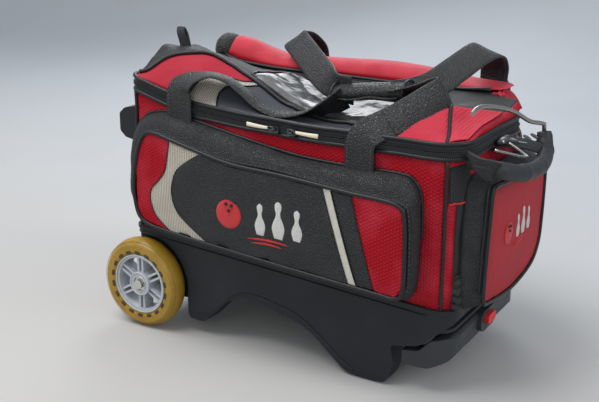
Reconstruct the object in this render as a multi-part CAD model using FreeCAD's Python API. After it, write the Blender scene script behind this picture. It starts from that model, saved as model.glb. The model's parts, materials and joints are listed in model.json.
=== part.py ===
"""Wheeled two-ball bowling bag.

Frame: millimetres, X along the bag with the pull grip at +X, -Y is the front, +Z up.
The bag is drawn about its own datum, then moved by CENTRE_X so that the origin lies on
the floor under the middle of its bounding box.
"""

import FreeCAD
import Part
import math
import os

from FreeCAD import Vector

CENTRE_X = 6.0

# moulded base
BASE_LEFT = -250.0
BASE_RIGHT = 213.0
BASE_HALF = 128.0
BASE_WALL = 3.4
RIM_LEFT = 140.0
RIM_RIGHT = 110.5
FLOOR_TOP = 80.0
LEFT_CORNER = 14.0
RIGHT_CORNER = 30.0
SKID_INNER = 96.0
BELLY_HALF = 85.0
BELLY_BOTTOM = 46.5

# wheels, axle and bearings
AXLE_X = -230.0
AXLE_Z = 62.5
WHEEL_R = 62.5
TYRE_WIDTH = 30.0
TYRE_INNER_R = 41.0
WHEEL_OUT = 150.0
WELL_R = 67.0
WELL_FACE = 117.0
AXLE_R = 4.0
BEARING_R = 11.0
BEARING_WIDTH = 7.0
RUNNING = 0.05
SPOKE_PAIRS = 6
RIM_LUGS = 18

# telescopic handle
TUBE_Y = 68.0
TUBE_Z = 63.25
OUTER_R = 12.5
MID_R = 11.0
INNER_R = 9.0
TUBE_WALL = 1.4
TUBE_GAP = 0.1
GRIP_OUT = 207.0
GRIP_HALF = 128.0

# fabric body
FABRIC = 4.0
BODY_LEFT = -246.0
BODY_RIGHT = 209.0
BODY_HALF = 124.5
BODY_BOTTOM = 84.0
SEAM_LEFT = -238.0
SEAM_RIGHT = 196.0
HINGE_Y = 58.0
HINGE_Z = 330.0
BACK_TOP = 326.0
BALL_R = 108.0

# zip round the top
ZIP_LEFT = -249.0
ZIP_RIGHT = 216.0
ZIP_HALF = 127.0
ZIP_HEIGHT = 17.0
ZIP_LINE = ((-246.0, 326.0), (-150.0, 299.0), (-12.0, 291.0), (216.0, 291.0))
TAPE = 2.4

# pockets
POCKET_OUT = 160.0
POCKET_SKIN = 2.5
END_POCKET_OUT = 240.5
END_POCKET_HALF = 90.0
END_POCKET_LOW = 118.0
END_POCKET_HIGH = 252.0

STRAP_WIDTH = 38.0
STRAP = 3.0

NODES = {}


def add(name, *shapes):
    """Store one named node made of separate solids, moved to the bag's own origin."""
    shape = shapes[0] if len(shapes) == 1 else Part.makeCompound(list(shapes))
    shape = shape.removeSplitter() if len(shapes) == 1 else shape
    shape.translate(Vector(CENTRE_X, 0, 0))
    NODES[name] = shape


def box(x0, x1, y0, y1, z0, z1):
    return Part.makeBox(x1 - x0, y1 - y0, z1 - z0, Vector(x0, y0, z0))


def rod(start, end, radius):
    a = Vector(*start)
    line = Vector(*end) - a
    return Part.makeCylinder(radius, line.Length, a, line)


def ring(start, end, outer, inner):
    return rod(start, end, outer).cut(rod(start, end, inner))


def rounded_wire(points, radii, place):
    """Closed polygon with an arc at each corner; place turns a 2-D point into a Vector."""
    count = len(points)
    edges = []
    ends = []
    for i in range(count):
        before, here, after = points[i - 1], points[i], points[(i + 1) % count]
        r = radii[i] if isinstance(radii, (list, tuple)) else radii
        u = (before[0] - here[0], before[1] - here[1])
        v = (after[0] - here[0], after[1] - here[1])
        lu, lv = math.hypot(*u), math.hypot(*v)
        u = (u[0] / lu, u[1] / lu)
        v = (v[0] / lv, v[1] / lv)
        half = math.acos(max(-1.0, min(1.0, u[0] * v[0] + u[1] * v[1]))) / 2
        if r <= 0 or half > math.pi / 2 - 0.01:
            ends.append((here, here, None))
            continue
        cut = r / math.tan(half)
        bis = (u[0] + v[0], u[1] + v[1])
        size = math.hypot(*bis)
        reach = r / math.sin(half) - r
        mid = (here[0] + bis[0] / size * reach, here[1] + bis[1] / size * reach)
        a = (here[0] + u[0] * cut, here[1] + u[1] * cut)
        b = (here[0] + v[0] * cut, here[1] + v[1] * cut)
        ends.append((a, b, mid))
    for i in range(count):
        a, b, mid = ends[i]
        if mid is not None:
            edges.append(Part.Arc(place(*a), place(*mid), place(*b)).toShape())
        start, stop = place(*b), place(*ends[(i + 1) % count][0])
        if (stop - start).Length > 1e-6:
            edges.append(Part.LineSegment(start, stop).toShape())
    return Part.Wire(edges)


def prism_y(points, y0, y1, radii=0):
    """Outline in X and Z, extruded along Y."""
    wire = rounded_wire(points, radii, lambda x, z: Vector(x, y0, z))
    return Part.Face(wire).extrude(Vector(0, y1 - y0, 0))


def prism_x(points, x0, x1, radii=0):
    """Outline in Y and Z, extruded along X."""
    wire = rounded_wire(points, radii, lambda y, z: Vector(x0, y, z))
    return Part.Face(wire).extrude(Vector(x1 - x0, 0, 0))


def prism_z(points, z0, z1, radii=0):
    """Outline in X and Y, extruded along Z."""
    wire = rounded_wire(points, radii, lambda x, y: Vector(x, y, z0))
    return Part.Face(wire).extrude(Vector(0, 0, z1 - z0))


def plan(left, right, half, corners, z0, z1):
    """Rounded rectangle in plan; corners holds the left and the right radius."""
    points = [(left, -half), (right, -half), (right, half), (left, half)]
    radii = [corners[0], corners[1], corners[1], corners[0]]
    return prism_z(points, z0, z1, radii)


def shrink(points, step):
    """Rectangle-like outline moved inwards by step."""
    cx = sum(p[0] for p in points) / len(points)
    cz = sum(p[1] for p in points) / len(points)
    return [(x - math.copysign(step, x - cx), z - math.copysign(step, z - cz)) for x, z in points]


def mirror_y(shape):
    return shape.mirror(Vector(0, 0, 0), Vector(0, 1, 0))


def both_sides(shape):
    return [shape, mirror_y(shape)]


def sheet(stations, thickness):
    """Thin curved sheet lofted through stations of (x, [(y, z), ...])."""
    wires = []
    for x, line in stations:
        top = [Vector(x, y, z) for y, z in line]
        low = [Vector(x, y, z - thickness) for y, z in reversed(line)]
        wires.append(Part.makePolygon(top + low + [top[0]]))
    return Part.makeLoft(wires, True, True)


def ribbon(sections, width=STRAP_WIDTH, thickness=STRAP):
    """Flat strap lofted through (centre, width direction) sections."""
    centres = [Vector(*s[0]) for s in sections]
    wires = []
    for i, c in enumerate(centres):
        travel = centres[min(i + 1, len(centres) - 1)] - centres[max(i - 1, 0)]
        w = Vector(*sections[i][1])
        w = (w - travel * (w.dot(travel) / travel.dot(travel))).normalize() * (width / 2)
        n = travel.cross(w).normalize() * (thickness / 2)
        corners = [c - w - n, c + w - n, c + w + n, c - w + n]
        wires.append(Part.makePolygon(corners + [corners[0]]))
    return Part.makeLoft(wires, True, True)


def pipe(points, radius):
    """Round rod along a smooth curve through points."""
    curve = Part.BSplineCurve()
    curve.interpolate([Vector(*p) for p in points])
    spine = Part.Wire(curve.toShape())
    start = curve.value(curve.FirstParameter)
    tangent = curve.tangent(curve.FirstParameter)[0]
    circle = Part.Wire(Part.Circle(start, tangent, radius).toShape())
    return spine.makePipeShell([circle], True, True)


def zip_z(x):
    """Height of the zip's lower edge at x, straight between the points of its line."""
    for (xa, za), (xb, zb) in zip(ZIP_LINE, ZIP_LINE[1:]):
        if x <= xb:
            break
    return za + (zb - za) * (x - xa) / (xb - xa)


def zip_band(low, high, y0=-200.0, y1=200.0):
    """Everything between two heights above the zip's lower edge, bent with wide arcs."""
    xs = (BASE_LEFT - 60, ZIP_LINE[1][0], ZIP_LINE[2][0], BASE_RIGHT + 60)
    lower = [(x, zip_z(x) + low) for x in xs]
    upper = [(x, zip_z(x) + high) for x in reversed(xs)]
    return prism_y(lower + upper, y0, y1, [0, 200, 400, 0, 0, 400, 200, 0])


# ---------------------------------------------------------------- moulded base


def base_outline():
    """Side view of the base: axle lug, skid lobe, arch, front foot and the lifted nose."""
    points = [
        (BASE_LEFT, RIM_LEFT), (BASE_LEFT, 44), (-166, 44), (-163, 21), (-137, 20),
        (-101, 58), (-66, 70), (20, 52), (78, 3), (131, 3), (142, 30), (138, 55),
        (172, 62), (BASE_RIGHT, 95), (BASE_RIGHT, RIM_RIGHT),
    ]
    radii = [3, 16, 3, 8, 16, 45, 60, 90, 30, 8, 10, 4, 18, 12, 3]
    return points, radii


def wheel_arches(gap):
    """Solid that the wheel wells take up inside the bag, wall included."""
    radius = WELL_R + BASE_WALL + gap
    face = WELL_FACE - BASE_WALL - gap
    arches = [rod((AXLE_X, s * face, AXLE_Z), (AXLE_X, s * 160, AXLE_Z), radius) for s in (-1, 1)]
    return arches[0].fuse(arches[1])


def base_tray():
    points, radii = base_outline()
    body = prism_y(points, -BASE_HALF, BASE_HALF, radii)
    corners = (LEFT_CORNER, RIGHT_CORNER)
    body = body.common(plan(BASE_LEFT, BASE_RIGHT, BASE_HALF, corners, 0, 200))
    inner = (LEFT_CORNER - BASE_WALL, RIGHT_CORNER - BASE_WALL)
    left, right = BASE_LEFT + BASE_WALL, BASE_RIGHT - BASE_WALL
    hollow = plan(left, right, BASE_HALF - BASE_WALL, inner, FLOOR_TOP, 200)
    body = body.cut(hollow.cut(wheel_arches(0)))
    body = body.cut(box(-162, 152, -SKID_INNER, SKID_INNER, -5, BELLY_BOTTOM))
    body = body.fuse(box(-162, 150, -BELLY_HALF, BELLY_HALF, BELLY_BOTTOM, FLOOR_TOP))
    for side in (-1, 1):
        well = rod((AXLE_X, side * WELL_FACE, AXLE_Z), (AXLE_X, side * 140, AXLE_Z), WELL_R)
        low = box(-300, AXLE_X + 66, *sorted((side * WELL_FACE, side * 140)), -5, AXLE_Z)
        channel = box(-205, 240, side * TUBE_Y - 14, side * TUBE_Y + 14, 50, 76.6)
        body = body.cut(well).cut(low).cut(channel)
    axle_hole = rod((AXLE_X, -140, AXLE_Z), (AXLE_X, 140, AXLE_Z), AXLE_R + RUNNING)
    body = body.cut(axle_hole)
    corners = (LEFT_CORNER + 1, RIGHT_CORNER + 1)
    lip = plan(BASE_LEFT - 1.2, BASE_RIGHT + 1.2, BASE_HALF + 1.2, corners, 90, 160)
    lip = lip.cut(plan(BASE_LEFT, BASE_RIGHT, BASE_HALF, corners, 90, 160))
    slope = (RIM_LEFT - RIM_RIGHT) / (BASE_RIGHT - BASE_LEFT)
    ends = (BASE_LEFT - 5, BASE_RIGHT + 5)
    tops = [RIM_LEFT - slope * (x - BASE_LEFT) for x in ends]
    lower = [(ends[0], tops[0] - 4), (ends[1], tops[1] - 4)]
    band = lower + [(ends[1], tops[1] - 0.4), (ends[0], tops[0] - 0.4)]
    return body.fuse(lip.common(prism_y(band, -150, 150)))


def foot_pads():
    pad = prism_z([(88, 101), (122, 101), (122, 124), (88, 124)], 0, 3, 5)
    return both_sides(pad)


def stand_feet():
    """Moulded blocks high on the wheel end, with a flat outer pad."""
    near, far = BODY_LEFT - 0.2, -277
    outline = [(near, 252), (far + 9, 256), (far, 264), (far, 288), (far + 9, 296), (near, 300)]
    return both_sides(prism_y(outline, -117, -99, [0, 6, 6, 6, 6, 0]))


def floor_rivets():
    return [rod((x, y, 43.5), (x, y, 46), 6) for x in (-120, -20, 80) for y in (-30, 30)]


# ---------------------------------------------------------------- wheels


def wheel_hub():
    """Rim, core and paired spokes, with lugs that key the urethane tyre to the rim."""
    out, deep = -WHEEL_OUT + 3, -WHEEL_OUT + TYRE_WIDTH - 3
    at = lambda y: (AXLE_X, y, AXLE_Z)
    hub = ring(at(out), at(deep), TYRE_INNER_R, TYRE_INNER_R - 4.5)
    hub = hub.fuse(ring(at(out - 1), at(deep), BEARING_R + 5.5, BEARING_R - 2))
    for pair in range(SPOKE_PAIRS):
        for offset in (-3.6, 3.6):
            middle = AXLE_X + offset
            spoke = box(middle - 1.5, middle + 1.5, out + 2, deep - 4, AXLE_Z + 14, AXLE_Z + 38.5)
            spoke.rotate(Vector(*at(0)), Vector(0, 1, 0), 360.0 * pair / SPOKE_PAIRS)
            hub = hub.fuse(spoke)
    for lug in range(RIM_LUGS):
        key = box(AXLE_X - 4.6, AXLE_X + 4.6, out + 3, deep - 3, AXLE_Z + 38, AXLE_Z + 46)
        key.rotate(Vector(*at(0)), Vector(0, 1, 0), 360.0 * lug / RIM_LUGS)
        hub = hub.fuse(key)
    for y in (out - 1, deep - BEARING_WIDTH):
        hub = hub.cut(rod(at(y), at(y + BEARING_WIDTH + 1), BEARING_R))
    return hub


def wheel_tyre():
    """Solid urethane tyre with a rounded tread, turned about the axle."""
    low, high = -WHEEL_OUT, -WHEEL_OUT + TYRE_WIDTH
    mid = (low + high) / 2
    shoulder = AXLE_Z + WHEEL_R - 8
    top = AXLE_Z + WHEEL_R
    inner = AXLE_Z + TYRE_INNER_R
    p = lambda y, z: Vector(AXLE_X, y, z)
    edges = [
        Part.LineSegment(p(low + 3, inner), p(low, inner + 5)).toShape(),
        Part.LineSegment(p(low, inner + 5), p(low, shoulder)).toShape(),
        Part.Arc(p(low, shoulder), p(mid, top), p(high, shoulder)).toShape(),
        Part.LineSegment(p(high, shoulder), p(high, inner + 5)).toShape(),
        Part.LineSegment(p(high, inner + 5), p(high - 3, inner)).toShape(),
        Part.LineSegment(p(high - 3, inner), p(low + 3, inner)).toShape(),
    ]
    face = Part.Face(Part.Wire(edges))
    return face.revolve(Vector(AXLE_X, 0, AXLE_Z), Vector(0, 1, 0), 360)


def wheel_bearings():
    out, deep = -WHEEL_OUT + 3, -WHEEL_OUT + TYRE_WIDTH - 3
    parts = []
    for y in (out, deep - BEARING_WIDTH):
        start, end = (AXLE_X, y, AXLE_Z), (AXLE_X, y + BEARING_WIDTH, AXLE_Z)
        parts.append(ring(start, end, BEARING_R, AXLE_R + RUNNING))
    return parts


def axle_nuts():
    nuts = []
    for side in (-1, 1):
        nuts.append(rod((AXLE_X, side * 147.4, AXLE_Z), (AXLE_X, side * 152, AXLE_Z), 6.5))
    return nuts


def axle_washers():
    start, end = (AXLE_X, -122.8, AXLE_Z), (AXLE_X, -117.1, AXLE_Z)
    return both_sides(ring(start, end, 9, AXLE_R))


def add_wheels():
    hub = wheel_hub()
    tyre = wheel_tyre().cut(hub)
    for name, turn in (("front", lambda s: s.copy()), ("back", mirror_y)):
        add(name + "_wheel_hub", turn(hub))
        add(name + "_wheel_tyre", turn(tyre))
        add(name + "_wheel_bearings", *[turn(b) for b in wheel_bearings()])
    add("axle", rod((AXLE_X, -147.4, AXLE_Z), (AXLE_X, 147.4, AXLE_Z), AXLE_R))
    add("axle_nuts", *axle_nuts())
    add("axle_washers", *axle_washers())


# ---------------------------------------------------------------- telescopic handle


def tube_pair(x0, x1, radius, wall):
    at = lambda x: (x, -TUBE_Y, TUBE_Z)
    return both_sides(ring(at(x0), at(x1), radius, radius - wall))


def tube_clamps():
    parts = []
    for x in (-190, 138):
        block = box(x, x + 14, -TUBE_Y - 14, -TUBE_Y + 14, 50, 76.6)
        block = block.cut(rod((x, -TUBE_Y, TUBE_Z), (x + 14, -TUBE_Y, TUBE_Z), OUTER_R))
        parts += both_sides(block)
    return parts


def pull_grip():
    """Bow that wraps the nose of the base, with sockets for the tubes and the release button."""
    outer = [(150, -GRIP_HALF), (GRIP_OUT, -GRIP_HALF), (GRIP_OUT, GRIP_HALF), (150, GRIP_HALF)]
    bow = prism_z(outer, 20, 90, [6, 38, 38, 6])
    inner = [(140, -108), (186, -108), (186, 108), (140, 108)]
    bow = bow.cut(prism_z(inner, 10, 100, [0, 20, 20, 0]))
    nose = [(186, 35), (GRIP_OUT + 1, 43), (GRIP_OUT + 1, 66), (203, 71), (187, 70), (174, 56)]
    side = [(149, 36)] + nose + [(149, 52)]
    bow = bow.common(prism_y(side, -140, 140, [6, 14, 10, 5, 5, 6, 14, 6]))
    boss = prism_x([(-24, 46), (24, 46), (24, 73), (-24, 73)], 190, 212, 10)
    bow = bow.fuse(boss)
    for side in (-1, 1):
        bow = bow.cut(rod((180, side * TUBE_Y, TUBE_Z), (197, side * TUBE_Y, TUBE_Z), INNER_R))
    return bow.cut(button_prism(198, 214, 0.3))


def button_prism(x0, x1, grow=0.0):
    half_y, half_z, z = 13 + grow, 6.5 + grow, 61.0
    outline = [(-half_y, z - half_z), (half_y, z - half_z), (half_y, z + half_z), (-half_y, z + half_z)]
    return prism_x(outline, x0, x1, half_z - 0.2)


def release_button():
    button = button_prism(204, 217)
    return button.cut(rod((203, 0, 61), (212.5, 0, 61), 4))


def button_spring():
    helix = Part.makeHelix(1.8, 7.2, 2.6)
    section = Part.Wire(Part.Circle(Vector(2.6, 0, 0), Vector(0, 1, 0), 0.5).toShape())
    coil = Part.Wire(helix).makePipeShell([section], True, True)
    coil.rotate(Vector(0, 0, 0), Vector(0, 1, 0), 90)
    coil.translate(Vector(198.6, 0, 61))
    return coil


def add_handle():
    add("handle_outer_tubes", *tube_pair(-200, 168, OUTER_R, TUBE_WALL))
    add("handle_tube_clamps", *tube_clamps())
    add("handle_mid_tubes", *tube_pair(-190, 174, MID_R, MID_R - INNER_R - TUBE_GAP))
    add("handle_inner_tubes", *tube_pair(-180, 197, INNER_R, 1.3))
    at = lambda x: (x, -TUBE_Y, TUBE_Z)
    add("mid_tube_collars", *both_sides(ring(at(168.5), at(178), 13, MID_R)))
    add("pull_grip", pull_grip())
    add("release_button", release_button())
    add("button_spring", button_spring())
    add("latch_rods", *both_sides(rod(at(-176), at(190), 3)))


# ---------------------------------------------------------------- ball compartment


def body_ring():
    """Fabric wall all round, cut off along the zip at the front and level at the back."""
    outer = plan(BODY_LEFT, BODY_RIGHT, BODY_HALF, (10, 28), BODY_BOTTOM, 400)
    inner = plan(BODY_LEFT + FABRIC, BODY_RIGHT - FABRIC, BODY_HALF - FABRIC, (6, 24), 0, 500)
    wall = outer.cut(inner)
    wall = wall.cut(zip_band(-0.2, 400, -300, HINGE_Y + 3))
    wall = wall.cut(box(-400, 400, HINGE_Y - 22, 300, BACK_TOP - 2, 600))
    return wall.cut(wheel_arches(0.3))


def add_body():
    wall = body_ring()
    add("front_panel", wall.common(box(SEAM_LEFT, SEAM_RIGHT, -200, 0, 0, 500)))
    add("back_panel", wall.common(box(SEAM_LEFT, SEAM_RIGHT, 0, 200, 0, 500)))
    add("left_panel", wall.common(box(-400, SEAM_LEFT, -200, 200, 0, 500)))
    add("right_panel", wall.common(box(SEAM_RIGHT, 400, -200, 200, 0, 500)))
    piping = []
    for x, top in ((SEAM_LEFT, 322), (SEAM_RIGHT, 288)):
        for side in (-1, 1):
            y = side * (BODY_HALF + 2.1)
            piping.append(rod((x, y, 144 if x < 0 else 116), (x, y, top), 2))
    add("corner_piping", *piping)
    board = plan(BODY_LEFT + 1, BODY_RIGHT - 1, 121, (8, 24), FLOOR_TOP, BODY_BOTTOM)
    add("floor_board", board.cut(wheel_arches(0.5)))
    cradle = plan(BODY_LEFT + 6, BODY_RIGHT - 6, 118, (4, 22), BODY_BOTTOM, 100)
    middle = (BODY_LEFT + BODY_RIGHT) / 2
    for side in (-1, 1):
        ball = Part.makeSphere(BALL_R + 2, Vector(middle + side * 110, 0, 86 + BALL_R + 2))
        cradle = cradle.cut(ball)
    add("ball_cradle", cradle.cut(wheel_arches(1)))
    add("floor_rivets", *floor_rivets())


# ---------------------------------------------------------------- zip


def zip_ring(low, high, out, thick):
    """Part of the zip: a thin wall outside the body, between two heights of the band."""
    outer = plan(ZIP_LEFT - out, ZIP_RIGHT + out, ZIP_HALF + out, (12 + out, 36 + out), 200, 420)
    step = thick - out
    inner = plan(ZIP_LEFT + step, ZIP_RIGHT - step, ZIP_HALF - step, (12 - step, 36 - step), 100, 500)
    return outer.cut(inner).common(zip_band(low, high, -300, HINGE_Y - 22))


def zip_slider(x):
    z = zip_z(x) + ZIP_HEIGHT / 2
    outline = [(x - 6, z - 4.5), (x + 6, z - 4.5), (x + 6, z + 4.5), (x - 6, z + 4.5)]
    plate = prism_y(outline, -133, -130.2, 2.5)
    bridge = box(x - 3, x + 3, -136.5, -133, z - 1.5, z + 1.5)
    return plate.fuse(bridge)


def zip_pull(x, side):
    """Flat puller that lies along the zip, hooked beside the slider's bridge."""
    z = zip_z(x) + ZIP_HEIGHT / 2
    near, far = x + side * 4, x + side * 34
    outline = [(near, z - 2.2), (far, z - 2.8), (far, z + 2.8), (near, z + 2.2)]
    return prism_y(outline, -135.4, -133.6, 1.5)


def add_zip():
    add("zip_lower_tape", zip_ring(0, 8.2, 0, TAPE))
    add("zip_lower_coil", zip_ring(5.6, 8.2, 2.4, 2.3))
    add("zip_upper_tape", zip_ring(8.8, ZIP_HEIGHT, 0, TAPE))
    add("zip_upper_coil", zip_ring(8.8, 11.4, 2.4, 2.3))
    for name, x, side in (("left", -22, -1), ("right", 2, 1)):
        add(name + "_zip_slider", zip_slider(x))
        add(name + "_zip_pull", zip_pull(x, side))


# ---------------------------------------------------------------- lid

LID_Y = (-124.4, -112, -64, -22, 20, HINGE_Y - 0.5)
LID_STATIONS = (
    (-246, (344, 351, 367, 366, 350, 330)),
    (-200, (330.5, 346, 367, 360, 347, 330)),
    (-160, (321, 338, 366, 356, 342, 330)),
    (-133, (318, 330, 356, 350, 337, 330)),
    (-100, (316, 322, 341, 340, 333, 330)),
    (-60, (313, 313, 320, 321, 325, 330)),
    (0, (309, 309, 309, 312, 319, 330)),
    (60, (309, 307, 303, 308, 318, 330)),
    (110, (309, 309, 304, 310, 320, 330)),
    (160, (309, 319, 330, 331, 331, 330)),
    (190, (309, 314, 322, 325, 327, 330)),
    (215, (309, 311, 314, 317, 321, 328)),
)


def lid_z(x, y):
    """Height of the lid's upper face, straight between its stations."""
    for (xa, za), (xb, zb) in zip(LID_STATIONS, LID_STATIONS[1:]):
        if x <= xb:
            break
    t = (x - xa) / (xb - xa)
    line = [a + (b - a) * t for a, b in zip(za, zb)]
    for i in range(len(LID_Y) - 1):
        if y <= LID_Y[i + 1]:
            break
    s = (y - LID_Y[i]) / (LID_Y[i + 1] - LID_Y[i])
    return line[i] + (line[i + 1] - line[i]) * s


def lid_sheet(x0, x1, y_line, lift, thickness):
    xs = [x0] + [s[0] for s in LID_STATIONS if x0 < s[0] < x1] + [x1]
    return sheet([(x, [(y, lid_z(x, y) + lift) for y in y_line]) for x in xs], thickness)


def lid_panel():
    skin = sheet([(x, list(zip(LID_Y, heights))) for x, heights in LID_STATIONS], FABRIC)
    for x, heights in (LID_STATIONS[0], LID_STATIONS[-1]):
        line = list(zip(LID_Y, heights))
        floor_z = zip_z(x) + ZIP_HEIGHT - 0.5
        low = [(LID_Y[-1], min(floor_z, heights[-1] - FABRIC)), (LID_Y[0], floor_z)]
        inward = 4 if x < 0 else -4
        skin = skin.fuse(prism_x(line + low, min(x, x + inward), max(x, x + inward)))
    return skin.common(plan(BODY_LEFT, ZIP_RIGHT - TAPE - 0.1, ZIP_HALF - TAPE - 0.1, (9, 33.5), 200, 500))


def add_lid():
    add("lid_panel", lid_panel())
    pouch_y = (-18, 10, 40)
    pouch = lid_sheet(-236, 104, pouch_y, 6, 3)
    window_y = (-8, 10, 30)
    opening = lid_sheet(-92, 92, window_y, 12, 14)
    add("top_pouch", pouch.cut(opening))
    add("pouch_window", lid_sheet(-91.6, 91.6, (-7.6, 10, 29.6), 5, 1.2))
    ridge = [(x, -64, lid_z(x, -64) + 5) for x in (-236, -200, -160, -133, -100, -60, 0, 40)]
    add("lid_piping", pipe(ridge, 2.2))
    tab = [((-228, -36, 369), (1, 0, 0)), ((-228, -34, 380), (1, 0, 0)), ((-226, -36, 394), (1, 0.3, 0))]
    add("lid_pull_tab", ribbon(tab, 18, 2.5))


# ---------------------------------------------------------------- rear top pocket

FLAP_STATIONS = (
    (-228, 366), (-190, 366), (-130, 352), (-60, 348), (70, 348), (150, 338), (193, 334),
)


def rear_pocket_shell():
    outer = box(-228, 193, HINGE_Y + 4, 120, 296, 331)
    outer = outer.common(plan(BODY_LEFT + FABRIC, BODY_RIGHT - FABRIC, BODY_HALF - FABRIC, (6, 24), 0, 500))
    return outer.cut(box(-225, 190, HINGE_Y + 7, 116, 299, 340))


def add_rear_pocket():
    add("rear_pocket_shell", rear_pocket_shell())
    stations = []
    for x, top in FLAP_STATIONS:
        front = [(63, 334.5), (67, 334.5 + (top - 334.5) * 0.75)]
        stations.append((x, front + [(82, top), (104, top), (121, 338), (126, 334)]))
    add("rear_flap", sheet(stations, 3))
    tape = box(SEAM_LEFT + 4, SEAM_RIGHT - 2, HINGE_Y + 0.4, HINGE_Y + 3.4, 318, HINGE_Z)
    add("lid_hinge_tape", tape)


# ---------------------------------------------------------------- pockets


def side_pocket_outline():
    return [(-225, 156), (166, 128), (170, 264), (-4, 270), (-196, 297), (-234, 262)]


SIDE_POCKET_RADII = [16, 16, 22, 60, 34, 30]


def side_pocket():
    """Gusset ring and flat panel of a long pocket on the front face."""
    outline = side_pocket_outline()
    outer = prism_y(outline, -POCKET_OUT + POCKET_SKIN + 0.2, -BODY_HALF - 0.4, SIDE_POCKET_RADII)
    inner_radii = [max(3, r - 4) for r in SIDE_POCKET_RADII]
    inner = prism_y(shrink(outline, 3), -POCKET_OUT, -BODY_HALF + 5, inner_radii)
    panel = prism_y(outline, -POCKET_OUT, -POCKET_OUT + POCKET_SKIN, SIDE_POCKET_RADII)
    return outer.cut(inner), panel


def rain_flap():
    """Band that hangs over the pocket's zip: it rides on the panel's upper edge."""
    outline = side_pocket_outline()
    band = prism_y(outline, -POCKET_OUT, -POCKET_OUT + POCKET_SKIN, SIDE_POCKET_RADII)
    lower = [(-260, 280), (-190, 277), (-4, 251), (148, 246)]
    lower += [(148, 100), (190, 100), (190, 320), (-260, 320)]
    return band.common(prism_y(lower, -170, -150, 0))


def end_pocket():
    half, low, high = END_POCKET_HALF, END_POCKET_LOW, END_POCKET_HIGH
    outline = [(-half, low), (half, low), (half, high), (-half, high)]
    gusset = prism_x(outline, BODY_RIGHT + 0.4, END_POCKET_OUT - POCKET_SKIN - 0.2, [14, 34, 16, 16])
    hollow = prism_x(shrink(outline, 3), BODY_RIGHT, END_POCKET_OUT, [11, 31, 13, 13])
    panel = prism_x(outline, END_POCKET_OUT - POCKET_SKIN, END_POCKET_OUT, [14, 34, 16, 16])
    return gusset.cut(hollow), panel


def add_pockets():
    gusset, panel = side_pocket()
    flap = rain_flap()
    add("front_pocket_gusset", gusset.copy())
    add("front_pocket_panel", panel.cut(flap))
    add("front_pocket_rain_flap", flap)
    add("back_pocket_gusset", mirror_y(gusset))
    add("back_pocket_panel", mirror_y(panel))
    gusset, panel = end_pocket()
    add("end_pocket_gusset", gusset)
    add("end_pocket_panel", panel)


# ---------------------------------------------------------------- carry handles

LEFT_LEG_X = -162.0
RIGHT_LEG_X = 94.0
BACK_LEFT_X = -115.0
BACK_RIGHT_X = 152.0
LEG_Y = -135.0
BACK_LEG_Y = 131.5
LEFT_PIVOT_Z = 331.0
RIGHT_PIVOT_Z = 311.0
PIVOT_GAP = 6.5
BACK_ANCHOR_TOP = 318.0


def upright(x, y, low, high):
    """Strap end sewn flat to the bag, standing up between two heights."""
    return ribbon([((x, y, low), (1, 0, 0)), ((x, y, high), (1, 0, 0))])


def front_anchors():
    """Strap ends sewn above the front pocket; they stand up past the zip."""
    left = upright(LEFT_LEG_X, LEG_Y, 300, LEFT_PIVOT_Z - PIVOT_GAP)
    right = upright(RIGHT_LEG_X, LEG_Y, 274, RIGHT_PIVOT_Z - PIVOT_GAP)
    return [left, right]


def back_anchors():
    left = upright(BACK_LEFT_X, BACK_LEG_Y, 292, BACK_ANCHOR_TOP)
    right = upright(BACK_RIGHT_X, BACK_LEG_Y, 272, BACK_ANCHOR_TOP)
    return [left, right]


def front_strap():
    """Strap from each front leg, arching over the lid's edge, into the wrap's ends."""
    left = ribbon([
        ((LEFT_LEG_X, LEG_Y, LEFT_PIVOT_Z), (1, 0, 0)),
        ((LEFT_LEG_X, LEG_Y, LEFT_PIVOT_Z + 3), (1, 0, 0)),
        ((-160, -132, 344), (0.98, -0.15, 0)),
        ((-146, -120, 355), (0.85, -0.5, 0)),
        ((-122, -106, 358), (0.66, -0.75, 0)),
        ((-96, -96, 349), (0.5, -0.86, 0)),
        ((-66, -86, 335), (0.4, -0.92, 0)),
        ((-28, -68, 326), (0.25, -0.97, 0)),
        ((2, -54, 328), (0.1, -0.97, 0)),
        ((24, -43, 333), (0, -0.97, -0.1)),
    ])
    right = ribbon([
        ((RIGHT_LEG_X, LEG_Y, RIGHT_PIVOT_Z), (1, 0, 0)),
        ((RIGHT_LEG_X, LEG_Y, RIGHT_PIVOT_Z + 3), (1, 0, 0)),
        ((97, -131.5, 323), (1, 0, -0.05)),
        ((120, -109, 344), (0.9, 0, -0.42)),
        ((158, -74, 358), (0.5, 0.2, -0.85)),
        ((160, -56, 359), (0.4, 0.3, -0.87)),
        ((130, -46, 352), (0.1, 0.9, -0.3)),
        ((101, -42, 338), (0, 0.97, -0.25)),
    ])
    return [left, right]


def handle_wrap():
    """Padded sleeve closed round the front handle's two ends."""
    return rod((20, -42, 334), (105, -42, 334), 14)


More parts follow.
